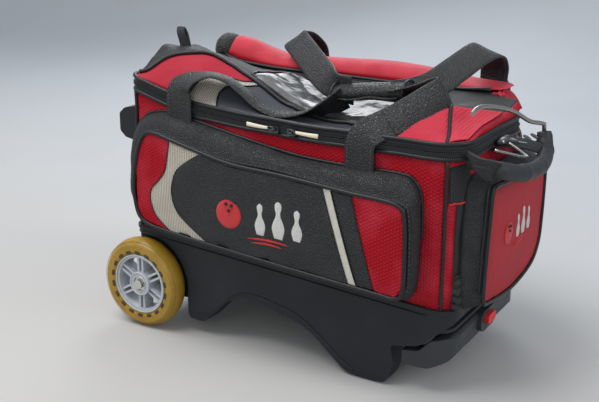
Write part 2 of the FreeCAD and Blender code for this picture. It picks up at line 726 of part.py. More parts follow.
def back_strap():
    """Rear handle: up from each back leg, over the rear flap and along behind the wrap."""
    return ribbon([
        ((BACK_LEFT_X, BACK_LEG_Y, 334), (1, 0, 0)),
        ((BACK_LEFT_X, BACK_LEG_Y, 338), (1, 0, 0)),
        ((-115, 127, 356), (1, 0, 0.1)),
        ((-120, 108, 374), (0.95, 0, 0.3)),
        ((-118, 76, 377), (0.85, 0.1, 0.5)),
        ((-80, 40, 365), (0.75, 0.5, 0.4)),
        ((-40, 12, 354), (0.5, 0.8, 0.2)),
        ((0, -4, 348), (0.1, 0.99, 0)),
        ((50, -6, 346), (0, 1, 0)),
        ((98, -6, 346), (0, 1, 0)),
        ((122, 8, 352), (-0.4, 0.9, 0.1)),
        ((140, 36, 365), (-0.8, 0.5, 0.3)),
        ((152, 72, 379), (-0.9, 0.1, 0.42)),
        ((155, 106, 377), (-1, 0, 0.2)),
        ((153, 127, 357), (-1, 0, 0)),
        ((BACK_RIGHT_X, BACK_LEG_Y, 338), (-1, 0, 0)),
        ((BACK_RIGHT_X, BACK_LEG_Y, 334), (-1, 0, 0)),
    ], 34)


def add_carry_handles():
    add("front_strap_anchors", *front_anchors())
    add("back_strap_anchors", *back_anchors())
    wrap = handle_wrap()
    straps = [s.cut(wrap) for s in front_strap()]
    add("front_handle_strap", *straps)
    add("handle_wrap", wrap)
    add("back_handle_strap", back_strap())


# ---------------------------------------------------------------- end handle

GRIP_LINE = (
    (248, -108, 284), (255, -92, 279), (262, -66, 272), (265, -30, 267.5),
    (263, 8, 266.5), (256, 40, 271), (250, 54, 281), (247, 58, 290),
)
WIRE_LINE = (
    (247, 56, 302), (245.5, 38, 307), (243, 18, 312), (238, -20, 328.5),
    (234, -68, 343.5), (231, -108, 352), (230, -130, 353), (230, -141, 350),
)
GRIP_R = 10.0
WIRE_R = 2.6


def add_end_handle():
    add("end_handle_grip", pipe(GRIP_LINE, GRIP_R))
    start = WIRE_LINE[0]
    socket = rod((247, 57.8, 292.2), start, WIRE_R)
    add("end_handle_wire", pipe(WIRE_LINE, WIRE_R).fuse(socket))
    near_tab = box(BODY_RIGHT + 0.4, 225, -100, -80, 268, 273)
    far_tab = box(BODY_RIGHT + 0.4, 232, 56, 76, 258, 263)
    add("end_handle_tabs", near_tab, far_tab)


def main():
    add("base_tray", base_tray())
    add("foot_pads", *foot_pads())
    add("stand_feet", *stand_feet())
    add_wheels()
    add_handle()
    add_body()
    add_zip()
    add_lid()
    add_rear_pocket()
    add_pockets()
    add_carry_handles()
    add_end_handle()
    os.makedirs("parts", exist_ok=True)
    for name, shape in NODES.items():
        shape.exportStep("parts/" + name + ".step")
        print(name, len(shape.Solids), "valid" if shape.isValid() else "INVALID", round(shape.Volume))


main()
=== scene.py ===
"""Looks of the wheeled two-ball bowling bag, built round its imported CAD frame.

Shapes are drawn in millimetres about the bag's own datum (X along the bag, -Y the front, +Z up)
and turned into frame metres by place(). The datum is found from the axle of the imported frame.
"""

import json
import math

import bmesh
import bpy
import numpy as np
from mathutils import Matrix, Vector, noise
from mathutils.bvhtree import BVHTree


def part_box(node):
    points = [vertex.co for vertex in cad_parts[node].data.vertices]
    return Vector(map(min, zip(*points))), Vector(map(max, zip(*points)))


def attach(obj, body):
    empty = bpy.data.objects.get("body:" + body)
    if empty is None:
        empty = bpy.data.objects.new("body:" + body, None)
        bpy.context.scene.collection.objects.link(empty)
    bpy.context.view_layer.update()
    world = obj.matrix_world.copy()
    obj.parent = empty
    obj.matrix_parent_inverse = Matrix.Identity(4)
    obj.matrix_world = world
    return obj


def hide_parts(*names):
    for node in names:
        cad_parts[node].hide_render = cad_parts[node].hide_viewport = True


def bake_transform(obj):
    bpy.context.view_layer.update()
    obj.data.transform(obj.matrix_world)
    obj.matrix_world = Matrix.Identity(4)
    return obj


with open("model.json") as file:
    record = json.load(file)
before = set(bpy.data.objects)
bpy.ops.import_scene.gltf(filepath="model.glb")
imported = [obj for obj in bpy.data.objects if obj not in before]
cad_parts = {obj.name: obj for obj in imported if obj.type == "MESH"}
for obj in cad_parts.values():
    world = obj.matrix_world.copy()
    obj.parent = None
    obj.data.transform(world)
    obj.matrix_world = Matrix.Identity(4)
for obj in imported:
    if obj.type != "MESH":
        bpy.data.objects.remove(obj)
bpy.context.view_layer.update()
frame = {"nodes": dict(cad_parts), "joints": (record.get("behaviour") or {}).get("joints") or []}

MM = 0.001
AXLE_FROM_DATUM = -230.0
AXLE_LOW, AXLE_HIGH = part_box("axle")
DATUM_X = (AXLE_LOW.x + AXLE_HIGH.x) / 2 - AXLE_FROM_DATUM * MM


# ---------------------------------------------------------------- places and curves


def place(points):
    """Datum millimetres to frame metres."""
    p = np.array(points, float) * MM
    p[..., 0] += DATUM_X
    return p


def spot(x, y, z):
    return Vector(place((x, y, z)))


def low_high(node):
    """A CAD node's box in datum millimetres."""
    low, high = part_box(node)
    shift = np.array((DATUM_X, 0, 0))
    return (np.array(low) - shift) / MM, (np.array(high) - shift) / MM


def smooth(points, per=8, closed=False):
    """Catmull-Rom curve through points, with per steps from each point to the next."""
    p = np.array(points, float)
    n = len(p)
    out = []
    for i in range(n if closed else n - 1):
        a = p[i - 1] if closed or i else 2 * p[0] - p[1]
        b, c = p[i], p[(i + 1) % n]
        d = p[(i + 2) % n] if closed or i < n - 2 else 2 * p[-1] - p[-2]
        for k in range(per):
            t = k / per
            out.append(0.5 * (2 * b + (c - a) * t + (2 * a - 5 * b + 4 * c - d) * t * t
                              + (3 * b - a - 3 * c + d) * t ** 3))
    if not closed:
        out.append(p[-1])
    return np.array(out)


def even(points, count):
    """The same polyline with count points at even distances."""
    p = np.array(points, float)
    run = np.concatenate([[0], np.cumsum(np.linalg.norm(np.diff(p, axis=0), axis=1))])
    where = np.linspace(0, run[-1], count)
    return np.stack([np.interp(where, run, p[:, k]) for k in range(p.shape[1])], axis=1)


def unit(v):
    v = np.array(v, float)
    return v / np.maximum(np.linalg.norm(v, axis=-1, keepdims=True), 1e-9)


def folds(p, size, depth, stretch=(1, 1, 1)):
    """Soft cloth folds: depth times noise of about size millimetres, longer along a stretched axis."""
    q = Vector((p[0] / (size * stretch[0]), p[1] / (size * stretch[1]), p[2] / (size * stretch[2])))
    return depth * (noise.noise(q) + 0.45 * noise.noise(q * 2.3 + Vector((7, 3, 5))))


def rounded_plan(left, right, half, r_left, r_right, step=4.0):
    """Rounded rectangle seen from above, from the back middle by the left end to the front and round."""
    out = []
    near, far = left + r_left, right - r_right
    corners = ((near, half - r_left, r_left, 90), (near, -half + r_left, r_left, 180),
               (far, -half + r_right, r_right, 270), (far, half - r_right, r_right, 0))
    for cx, cy, r, start in corners:
        for k in range(9):
            a = math.radians(start + 90 * k / 8)
            out.append((cx + r * math.cos(a), cy + r * math.sin(a)))
    out.append(out[0])
    out = np.array(out)
    length = np.linalg.norm(np.diff(out, axis=0), axis=1).sum()
    return even(out, int(length / step))


# ---------------------------------------------------------------- mesh builders


def piece(name, verts, faces, finish, body=None, slot=None, thick=0.0, level=0, metres=False):
    """One mesh object: verts in datum millimetres, thick in millimetres inwards from the surface.

    finish is a key of FINISH, which gives the material; slot is not used.
    """
    mesh = bpy.data.meshes.new(name)
    where = np.array(verts, float) if metres else place(verts)
    mesh.from_pydata(where.tolist(), [], [tuple(int(i) for i in f) for f in faces])
    mesh.update()
    mesh.materials.append(FINISH.get(finish, finish))
    mesh.shade_smooth()
    obj = bpy.data.objects.new(name, mesh)
    bpy.context.scene.collection.objects.link(obj)
    if thick:
        skin = obj.modifiers.new("thickness", "SOLIDIFY")
        skin.thickness = thick * MM
        skin.offset = -1
    if level:
        sub = obj.modifiers.new("smooth", "SUBSURF")
        sub.levels = sub.render_levels = level
    if body:
        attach(obj, body)
    slot = slot or SLOT_OF.get(finish)
    return obj


def grid_faces(rows, cols, wrap_rows=False, wrap_cols=False, caps=False):
    faces = []
    for i in range(rows if wrap_rows else rows - 1):
        for j in range(cols if wrap_cols else cols - 1):
            a, b = i * cols, (i + 1) % rows * cols
            k = (j + 1) % cols
            faces.append((a + j, b + j, b + k, a + k))
    if caps:
        faces.append(tuple(range(cols)))
        faces.append(tuple((rows - 1) * cols + j for j in reversed(range(cols))))
    return faces


def grid(name, points, finish, body, slot=None, **more):
    """A sheet from an array of rows and columns of points."""
    p = np.array(points, float)
    rows, cols = p.shape[:2]
    return piece(name, p.reshape(-1, 3), grid_faces(rows, cols), finish, body, slot, **more)


def rings(points, profile, across=None, scale=None, closed=False):
    """Copies of a flat profile carried along a curve: an array of rings of points."""
    p = np.array(points, float)
    if closed:
        tangent = unit(np.roll(p, -1, axis=0) - np.roll(p, 1, axis=0))
    else:
        tangent = unit(np.gradient(p, axis=0))
    side = np.zeros_like(p)
    if across is None:
        first = np.cross(tangent[0], (0, 0, 1))
        if np.linalg.norm(first) < 0.1:
            first = np.cross(tangent[0], (0, 1, 0))
        side[0] = unit(first)
        for i in range(1, len(p)):
            side[i] = unit(side[i - 1] - tangent[i] * (side[i - 1] @ tangent[i]))
    else:
        a = np.array(across, float)
        side = unit(a - tangent * np.sum(a * tangent, axis=1, keepdims=True))
    up = np.cross(side, tangent)
    flat = np.array(profile, float)
    out = []
    for i in range(len(p)):
        s = 1.0 if scale is None else scale[i]
        out.append(p[i] + s * (flat[:, :1] * side[i] + flat[:, 1:] * up[i]))
    return np.array(out)


def circle(radius, count=10):
    return [(radius * math.cos(2 * math.pi * k / count), radius * math.sin(2 * math.pi * k / count))
            for k in range(count)]


def tube(name, points, radius, finish, body, slot=None, closed=False, scale=None, sides=10):
    """Round cord, piping or rod along points."""
    r = rings(points, circle(radius, sides), scale=scale, closed=closed)
    faces = grid_faces(len(r), sides, wrap_rows=closed, wrap_cols=True, caps=not closed)
    return piece(name, r.reshape(-1, 3), faces, finish, body, slot)


STRAP_PROFILE = [(-19, 0), (-18.5, 1.1), (-16.6, 1.7), (-15.0, 1.15), (-12.6, 1.6), (0, 2.0), (12.6, 1.6),
                 (15.0, 1.15), (16.6, 1.7), (18.5, 1.1), (19, 0), (18.5, -1.1), (15, -1.5), (0, -1.6),
                 (-15, -1.5), (-18.5, -1.1)]


STRAP_WIDTH = 38.0


def strap(name, sections, finish, body, slot=None, width=STRAP_WIDTH, per=10, arch=None, part=None):
    """Flat strap through (centre, width direction) sections, its edges bent down by arch at each."""
    centre = smooth([s[0] for s in sections], per)
    across = smooth([unit(s[1]) for s in sections], per)
    profile = [(a * width / STRAP_WIDTH, b) for a, b in STRAP_PROFILE]
    r = rings(centre, profile, across)
    if arch:
        bend = smooth([(v, 0, 0) for v in arch], per)[:, 0]
        face = unit(r[:, 5] - r[:, 13])
        drop = np.array([(p[0] * 2 / width) ** 2 for p in profile])
        r = r - face[:, None, :] * bend[:, None, None] * drop[None, :, None]
    if part:
        r = r[part[0] * per:part[1] * per + 1]
    obj = piece(name, r.reshape(-1, 3), grid_faces(len(r), len(profile), wrap_cols=True, caps=True),
                finish, body, slot)
    return obj, r


def boxes(name, centres, along, across, size, finish, body, slot=None):
    """Many small rounded blocks as one piece, such as stitches or zip teeth."""
    c, t = np.array(centres, float), unit(along)
    s = unit(np.array(across, float) - t * np.sum(np.array(across, float) * t, axis=1, keepdims=True))
    n = np.cross(s, t)
    l, w, h = (x / 2 for x in size)
    shape = []
    for end, k in ((-1, 0.55), (-0.7, 1), (0.7, 1), (1, 0.55)):
        for a, b in ((-1, -0.6), (-0.6, -1), (0.6, -1), (1, -0.6), (1, 0.6), (0.6, 1), (-0.6, 1), (-1, 0.6)):
            shape.append((end * l, a * w * k, b * h * k))
    verts, faces = [], []
    one = grid_faces(4, 8, wrap_cols=True, caps=True)
    for i in range(len(c)):
        start = len(verts)
        verts += [c[i] + x * t[i] + y * s[i] + z * n[i] for x, y, z in shape]
        faces += [tuple(start + v for v in f) for f in one]
    return piece(name, verts, faces, finish, body, slot)


def stitches(name, rail, face, finish, body, pitch=4.6, length=3.2, gauge=0.7, slot=None):
    """Sewing thread showing as short dashes along a rail; face points out of the cloth."""
    rail = np.array(rail, float)
    run = np.linalg.norm(np.diff(rail, axis=0), axis=1).sum()
    count = max(2, int(run / pitch))
    p = even(rail, count + 1)
    out = np.array(face, float)
    out = np.broadcast_to(out, p.shape) if out.ndim == 1 else even(out, count + 1)
    along = np.diff(p, axis=0)
    mid = (p[1:] + p[:-1]) / 2
    side = np.cross(unit(along), unit(out[1:] + out[:-1]))
    return boxes(name, mid, along, side, (length, gauge, gauge), finish, body, slot)


def patch(left, right, low, high, lift, across=24, up=16):
    """Cloth panel between two side curves, ruled flat in two dimensions and raised by lift(a, b)."""
    l, r = even(left, up + 1), even(right, up + 1)
    out = []
    for i in range(across + 1):
        s = i / across
        column = []
        foot, head = (1 - s) * l[0] + s * r[0], (1 - s) * l[-1] + s * r[-1]
        drop, rise = low(foot[0]) - foot[1], high(head[0]) - head[1]
        for j in range(up + 1):
            t = j / up
            p = (1 - s) * l[j] + s * r[j]
            column.append(lift(p[0], p[1] + (1 - t) * drop + t * rise))
        out.append(column)
    return np.array(out)


def edge_line(points):
    """The second coordinate of a curve as a function of the first."""
    p = smooth(points, 6)
    order = np.argsort(p[:, 0])
    return lambda a: float(np.interp(a, p[order, 0], p[order, 1]))


# ---------------------------------------------------------------- cloth


def remeshed(verts, faces, voxel, name):
    """A closed form as an even mesh, ready for cloth."""
    obj = piece(name, verts, faces, "lining")
    even_mesh = obj.modifiers.new("even", "REMESH")
    even_mesh.mode = "VOXEL"
    even_mesh.voxel_size = voxel * MM
    soft = obj.modifiers.new("soft", "SMOOTH")
    soft.iterations = 3
    bpy.context.view_layer.update()
    ready = bpy.data.meshes.new_from_object(obj.evaluated_get(bpy.context.evaluated_depsgraph_get()))
    bpy.data.objects.remove(obj)
    return ready


def inflate(mesh, held, cap, pressure=4.0, frames=20):
    """Cloth under inner pressure, held where held(point) is true; no point moves more than cap."""
    rest = np.array([v.co for v in mesh.vertices])
    obj = bpy.data.objects.new("cloth_form", mesh)
    bpy.context.scene.collection.objects.link(obj)
    pins = obj.vertex_groups.new(name="pins")
    fixed = [i for i, p in enumerate(rest) if held(p)]
    pins.add(fixed, 1.0, "REPLACE")
    cloth = obj.modifiers.new("cloth", "CLOTH")
    cloth.settings.use_pressure = True
    cloth.settings.uniform_pressure_force = pressure
    cloth.settings.effector_weights.gravity = 0
    cloth.settings.vertex_group_mass = "pins"
    cloth.settings.quality = 5
    scene = bpy.context.scene
    for f in range(1, frames + 1):
        scene.frame_set(f)
    got = obj.evaluated_get(bpy.context.evaluated_depsgraph_get())
    moved = np.array([v.co for v in got.data.vertices])
    scene.frame_set(1)
    bpy.data.objects.remove(obj)
    step = moved - rest
    size = np.linalg.norm(step, axis=1, keepdims=True)
    return rest + step * np.minimum(1, cap * MM / np.maximum(size, 1e-9))


def cushion(name, verts, faces, voxel, held, cap, finish, body, slot=None, pressure=4.0):
    """Puffed pad: an even closed form, cloth-simulated, its result applied, then subdivided once."""
    mesh = remeshed(verts, faces, voxel, name + "_form")
    moved = inflate(mesh.copy(), held, cap, pressure)
    faces = [tuple(p.vertices) for p in mesh.polygons]
    obj = piece(name, moved, faces, finish, None, slot, level=1, metres=True)
    tree = BVHTree.FromPolygons([tuple(v) for v in moved], faces)
    if body:
        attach(obj, body)
    return obj, tree


def prism(outline, axis, near, far):
    """Closed form between two copies of an outline, across one axis."""
    o = np.array(outline, float)
    verts = []
    for depth in (near, far):
        for a, b in o:
            verts.append({"y": (a, depth, b), "x": (depth, a, b)}[axis])
    return verts, grid_faces(2, len(o), wrap_cols=True, caps=True)


def near_curve(outline3d, reach):
    """True for a frame point within reach millimetres of a closed curve."""
    line = place(outline3d)

    def held(p):
        return np.min(np.sum((line - p) ** 2, axis=1)) < (reach * MM) ** 2
    return held


def draper(tree, direction, start, proud):
    """Function that drops a panel point onto a cushion and lifts it proud of the surface."""
    d = Vector(direction)

    def drop(p):
        here = spot(*p)
        origin = here - d * start * MM
        hit = tree.ray_cast(origin, d)[0]
        if hit is None:
            hit = tree.find_nearest(here)[0]
        hit = hit - d * proud * MM
        back = np.array(hit) / MM
        back[0] -= DATUM_X / MM
        return back
    return drop


# ---------------------------------------------------------------- finishes


class Finish:
    """One node material, built up from patterns in object space."""

    def __init__(self, name, colour, rough, metal=0.0, **inputs):
        self.mat = bpy.data.materials.new(name)
        self.mat.use_nodes = True
        self.tree = self.mat.node_tree
        self.shader = self.tree.nodes["Principled BSDF"]
        self.colour = self.rgb(colour)
        self.rough = self.value(rough)
        self.shader.inputs["Metallic"].default_value = metal
        self.shader.inputs["Specular IOR Level"].default_value = 0.3
        for key, number in inputs.items():
            self.shader.inputs[key.replace("_", " ")].default_value = number
        self.place = self.node("ShaderNodeTexCoord").outputs["Object"]
        self.heights = []

    def node(self, kind, **settings):
        made = self.tree.nodes.new(kind)
        for key, setting in settings.items():
            setattr(made, key, setting)
        return made

    def join(self, out, socket):
        self.tree.links.new(out, socket)

    def rgb(self, colour):
        made = self.node("ShaderNodeRGB")
        made.outputs[0].default_value = (*colour, 1)
        return made.outputs[0]

    def value(self, number):
        made = self.node("ShaderNodeValue")
        made.outputs[0].default_value = number
        return made.outputs[0]

    def maths(self, how, *args, clamp=False):
        made = self.node("ShaderNodeMath", operation=how, use_clamp=clamp)
        for k, arg in enumerate(args):
            if isinstance(arg, (int, float)):
                made.inputs[k].default_value = arg
            else:
                self.join(arg, made.inputs[k])
        return made.outputs[0]

    def noise(self, size, detail=3.0, stretch=(1, 1, 1)):
        """Cloudy noise, 0 to 1, with blobs of about size millimetres."""
        made = self.node("ShaderNodeTexNoise")
        made.inputs["Scale"].default_value = 1000.0 / size
        made.inputs["Detail"].default_value = detail
        spread = self.node("ShaderNodeVectorMath", operation="MULTIPLY")
        self.join(self.place, spread.inputs[0])
        spread.inputs[1].default_value = tuple(1 / s for s in stretch)
        self.join(spread.outputs[0], made.inputs["Vector"])
        return made.outputs["Fac"]

    def cells(self, size, feature="DISTANCE_TO_EDGE"):
        """Pebbled cells of about size millimetres, as in leather grain."""
        made = self.node("ShaderNodeTexVoronoi", feature=feature)
        made.inputs["Scale"].default_value = 1000.0 / size
        self.join(self.place, made.inputs["Vector"])
        return made.outputs["Distance"]

    def waves(self, pitch, *directions):
        """Mean of cosines across each direction, -1 to 1: ribs, weaves and honeycombs."""
        total = 0.0
        for d in directions:
            dot = self.node("ShaderNodeVectorMath", operation="DOT_PRODUCT")
            self.join(self.place, dot.inputs[0])
            k = 2 * math.pi * 1000.0 / pitch
            dot.inputs[1].default_value = tuple(k * x for x in d)
            total = self.maths("ADD", total, self.maths("COSINE", dot.outputs["Value"]))
        return self.maths("DIVIDE", total, len(directions))

    def tint(self, amount, colour):
        """Mix another colour in by amount, a socket or number from 0 to 1."""
        mix = self.node("ShaderNodeMix", data_type="RGBA")
        if isinstance(amount, (int, float)):
            mix.inputs["Factor"].default_value = amount
        else:
            self.join(amount, mix.inputs["Factor"])
        self.join(self.colour, mix.inputs[6])
        mix.inputs[7].default_value = (*colour, 1)
        self.colour = mix.outputs[2]
        return self

    def span(self, source, low, high, to_low=0.0, to_high=1.0):
        made = self.node("ShaderNodeMapRange")
        self.join(source, made.inputs["Value"])
        for key, number in (("From Min", low), ("From Max", high), ("To Min", to_low), ("To Max", to_high)):
            made.inputs[key].default_value = number
        return made.outputs["Result"]

    def facing_up(self, low=0.35, high=0.95):
        """0 on walls to 1 on faces that look up: the mask for dusting and for painted sky light and sheen on
        tops.
        """
        geometry = self.node("ShaderNodeNewGeometry")
        split = self.node("ShaderNodeSeparateXYZ")
        self.join(geometry.outputs["Normal"], split.inputs[0])
        return self.span(split.outputs["Z"], low, high)

    def raise_by(self, source, depth):
        """Add a height, in millimetres, to the bump."""
        self.heights.append(self.maths("MULTIPLY", source, depth))
        return self

    def done(self):
        self.join(self.colour, self.shader.inputs["Base Color"])
        self.join(self.rough, self.shader.inputs["Roughness"])
        if self.heights:
            total = self.heights[0]
            for h in self.heights[1:]:
                total = self.maths("ADD", total, h)
            bump = self.node("ShaderNodeBump")
            bump.inputs["Distance"].default_value = MM
            self.join(total, bump.inputs["Height"])
            self.join(bump.outputs[0], self.shader.inputs["Normal"])
        return self.mat


RED = (0.375, 0.007, 0.016)
DEEP_RED = (0.24, 0.004, 0.011)
# Pinker red for dusting and random tone, and for painted sky light and sheen on up-facing faces.
DUST_AND_SHEEN_RED = (0.64, 0.075, 0.115)
PLANES = {"xz": ((1, 0, 0), (0, 0, 1)), "yz": ((0, 1, 0), (0, 0, 1)), "xy": ((1, 0, 0), (0, 1, 0))}


def hexagons(f, pitch, plane):
    """Honeycomb height, about -0.5 to 1, over one of the three planes."""
    u, v = (np.array(d, float) for d in PLANES[plane])
    turns = [u * math.cos(a) + v * math.sin(a) for a in (0, math.pi * 2 / 3, math.pi * 4 / 3)]
    return f.waves(pitch, *[tuple(t) for t in turns])


def red_honeycomb(plane):
    f = Finish("red_honeycomb_" + plane, RED, 0.62, Specular_IOR_Level=0.1)
    comb = hexagons(f, 3.9, plane)
    f.tint(f.span(comb, 0.1, -0.45, 0, 0.7), DEEP_RED)
    # Up-facing faces tinted pinker: partly dusting, partly painted sky light and sheen.
    f.tint(f.maths("MULTIPLY", f.facing_up(), 0.5), DUST_AND_SHEEN_RED)
    f.tint(f.span(f.noise(55), 0.45, 0.75, 0, 0.35), DUST_AND_SHEEN_RED)
    f.raise_by(comb, 0.55).raise_by(f.waves(1.0, *PLANES[plane]), 0.07)
    return f.done()


def red_rib():
    f = Finish("red_rib", RED, 0.6, Specular_IOR_Level=0.1)
    rib = f.waves(2.6, (1, 0, 0))
    f.tint(f.span(rib, 0.0, -1.0), DEEP_RED)
    # Up-facing faces tinted pinker: partly dusting, partly painted sky light and sheen.
    f.tint(f.maths("MULTIPLY", f.facing_up(), 0.55), DUST_AND_SHEEN_RED)
    f.raise_by(rib, 0.45).raise_by(f.waves(1.1, (0, 0.7, 0.7)), 0.12)
    return f.done()


def red_nylon(name, plane, dust_and_sheen=0.5):
    """Close plain-weave nylon with soft creases."""
    f = Finish(name, RED, 0.5, Specular_IOR_Level=0.14, Sheen_Weight=0.04)
    # Up-facing faces tinted pinker: partly dusting, partly painted sky light and sheen.
    f.tint(f.maths("MULTIPLY", f.facing_up(0.1, 0.9), dust_and_sheen), DUST_AND_SHEEN_RED)
    f.tint(f.span(f.noise(38, 4), 0.42, 0.72, 0, 0.4), DEEP_RED)
    f.raise_by(f.waves(0.9, *PLANES[plane]), 0.1)
    f.raise_by(f.noise(24, 3, (2.2, 1, 1)), 1.3).raise_by(f.noise(7, 2), 0.18)
    return f.done()


def silver_mesh(name, plane):
    """Grey mesh of fine corded ribs with dark gaps."""
    f = Finish(name, (0.56, 0.51, 0.43), 0.55, Sheen_Weight=0.06)
    cord = f.waves(2.7, PLANES[plane][0])
    knot = f.waves(1.9, PLANES[plane][1])
    net = f.maths("ADD", f.maths("MULTIPLY", cord, 0.7), f.maths("MULTIPLY", knot, 0.3))
    f.tint(f.span(net, 0.0, -0.75, 0, 0.85), (0.09, 0.085, 0.075))
    f.tint(f.span(f.noise(30), 0.4, 0.8, 0, 0.3), (0.62, 0.60, 0.52))
    return f.raise_by(net, 0.5).done()


def silver_piping():
    f = Finish("silver_stripe", (0.56, 0.54, 0.47), 0.5)
    f.tint(f.span(f.noise(9), 0.5, 0.8, 0, 0.5), (0.36, 0.34, 0.29))
    return f.raise_by(f.waves(1.2, (1, 0, 0), (0, 1, 0), (0, 0, 1)), 0.12).done()


def leather(name, colour=(0.016, 0.017, 0.019), rough=0.38, grain=3.4, depth=0.65, shine=0.4):
    f = Finish(name, colour, rough, Specular_IOR_Level=shine)
    pebble = f.span(f.cells(grain), 0.0, 0.28)
    f.tint(f.span(pebble, 0.6, 0.0, 0, 0.55), tuple(0.35 * c for c in colour))
    f.tint(f.span(f.noise(40, 4), 0.45, 0.8, 0, 0.5), tuple(1.9 * c for c in colour))
    f.rough = f.span(pebble, 0.0, 1.0, rough + 0.22, rough)
    return f.raise_by(pebble, depth).raise_by(f.noise(18), 0.7).done()


def smooth_vinyl():
    """Soft dark coated cloth of the lid, with a faint grain."""
    f = Finish("lid_vinyl", (0.052, 0.057, 0.068), 0.36)
    f.tint(f.span(f.noise(60), 0.4, 0.8, 0, 0.5), (0.085, 0.092, 0.108))
    return f.raise_by(f.cells(1.1), 0.1).raise_by(f.noise(26, 3, (2, 1, 1)), 1.6).done()


def black_mesh(plane):
    f = Finish("black_mesh_" + plane, (0.020, 0.022, 0.024), 0.6, Sheen_Weight=0.08)
    net = hexagons(f, 2.6, plane)
    f.tint(f.span(net, 0.25, 0.9, 0, 0.6), (0.055, 0.060, 0.064))
    f.tint(f.span(net, 0.0, -0.4, 0, 0.9), (0.004, 0.004, 0.005))
    return f.raise_by(net, 0.5).raise_by(f.noise(20), 0.8).done()


def webbing(name="webbing", colour=(0.024, 0.025, 0.028)):
    f = Finish(name, colour, 0.68, Sheen_Weight=0.08)
    weave = f.waves(2.0, (0.7, 0.7, 0), (0.7, -0.7, 0), (0, 0.7, 0.7), (0, 0.7, -0.7))
    f.tint(f.span(weave, 0.0, 0.8, 0, 0.5), tuple(2.4 * c for c in colour))
    return f.raise_by(weave, 0.35).done()


def black_cloth():
    """Crumpled black lining and gusset cloth."""
    f = Finish("lining", (0.013, 0.014, 0.016), 0.72, Sheen_Weight=0.10)
    f.tint(f.span(f.noise(22, 4), 0.5, 0.8, 0, 0.6), (0.035, 0.038, 0.042))
    return f.raise_by(f.waves(1.2, *PLANES["xz"]), 0.1).raise_by(f.noise(9, 3), 0.8).done()


def piping_black():
    f = Finish("piping", (0.014, 0.015, 0.017), 0.36)
    return f.raise_by(f.cells(0.9), 0.12).raise_by(f.noise(6), 0.25).done()


def moulded(name, colour, rough, grain=0.6, depth=0.07, wear=0.25):
    """Moulded plastic with spark-eroded texture and a little scuffing."""
    f = Finish(name, colour, rough)
    f.tint(f.span(f.noise(70, 5), 0.5, 0.85, 0, wear), tuple(min(1, 2.2 * c + 0.01) for c in colour))
    f.rough = f.span(f.noise(16, 4), 0.3, 0.7, rough - 0.06, rough + 0.1)
    return f.raise_by(f.noise(grain, 2), depth).done()


def metal(name, colour, rough, brushed=(1, 1, 1)):
    f = Finish(name, colour, rough, metal=1.0)
    f.rough = f.span(f.noise(5, 3, brushed), 0.3, 0.7, rough * 0.7, rough * 1.4)
    return f.raise_by(f.noise(0.8, 2, brushed), 0.02).done()


def urethane():
    f = Finish("urethane", (0.36, 0.215, 0.022), 0.3, Subsurface_Weight=0.35, Coat_Weight=0.2)
    f.shader.inputs["Subsurface Radius"].default_value = (0.006, 0.003, 0.0008)
    f.tint(f.span(f.noise(26, 4), 0.4, 0.75, 0, 0.5), (0.23, 0.125, 0.012))
    f.rough = f.span(f.noise(8), 0.3, 0.8, 0.22, 0.48)
    return f.raise_by(f.noise(3), 0.1).done()


def clear_vinyl():
    """Crinkled clear vinyl over the dark pouch: nearly black, with sharp highlights and broad grey patches of
    painted reflection.
    """
    f = Finish("clear_vinyl", (0.040, 0.042, 0.046), 0.2, Specular_IOR_Level=0.36, Coat_Weight=0.16,
               Coat_Roughness=0.05)
    # Painted reflection: broad grey patches mixed into the colour.
    f.tint(f.span(f.noise(34, 3, (1.8, 1, 1)), 0.45, 0.7, 0, 0.8), (0.17, 0.175, 0.18))
    return f.raise_by(f.noise(26, 2, (1.8, 1, 1)), 2.4).raise_by(f.noise(8, 2), 0.3).done()


def embroidery(name, colour):
    f = Finish(name, colour, 0.45, Sheen_Weight=0.14)
    thread = f.waves(0.9, (0.5, 0.5, 0.85))
    f.tint(f.span(thread, 0.0, -1.0, 0, 0.5), tuple(0.55 * c for c in colour))
    return f.raise_by(thread, 0.25).done()


def zip_cloth():
    f = Finish("zip_tape", (0.016, 0.018, 0.020), 0.62, Sheen_Weight=0.06)
    return f.raise_by(f.waves(1.1, (1, 0, 0), (0, 1, 0), (0, 0, 1)), 0.2).done()


def foam():
    f = Finish("foam", (0.11, 0.115, 0.12), 0.9)
    return f.raise_by(f.cells(1.4), 0.3).done()


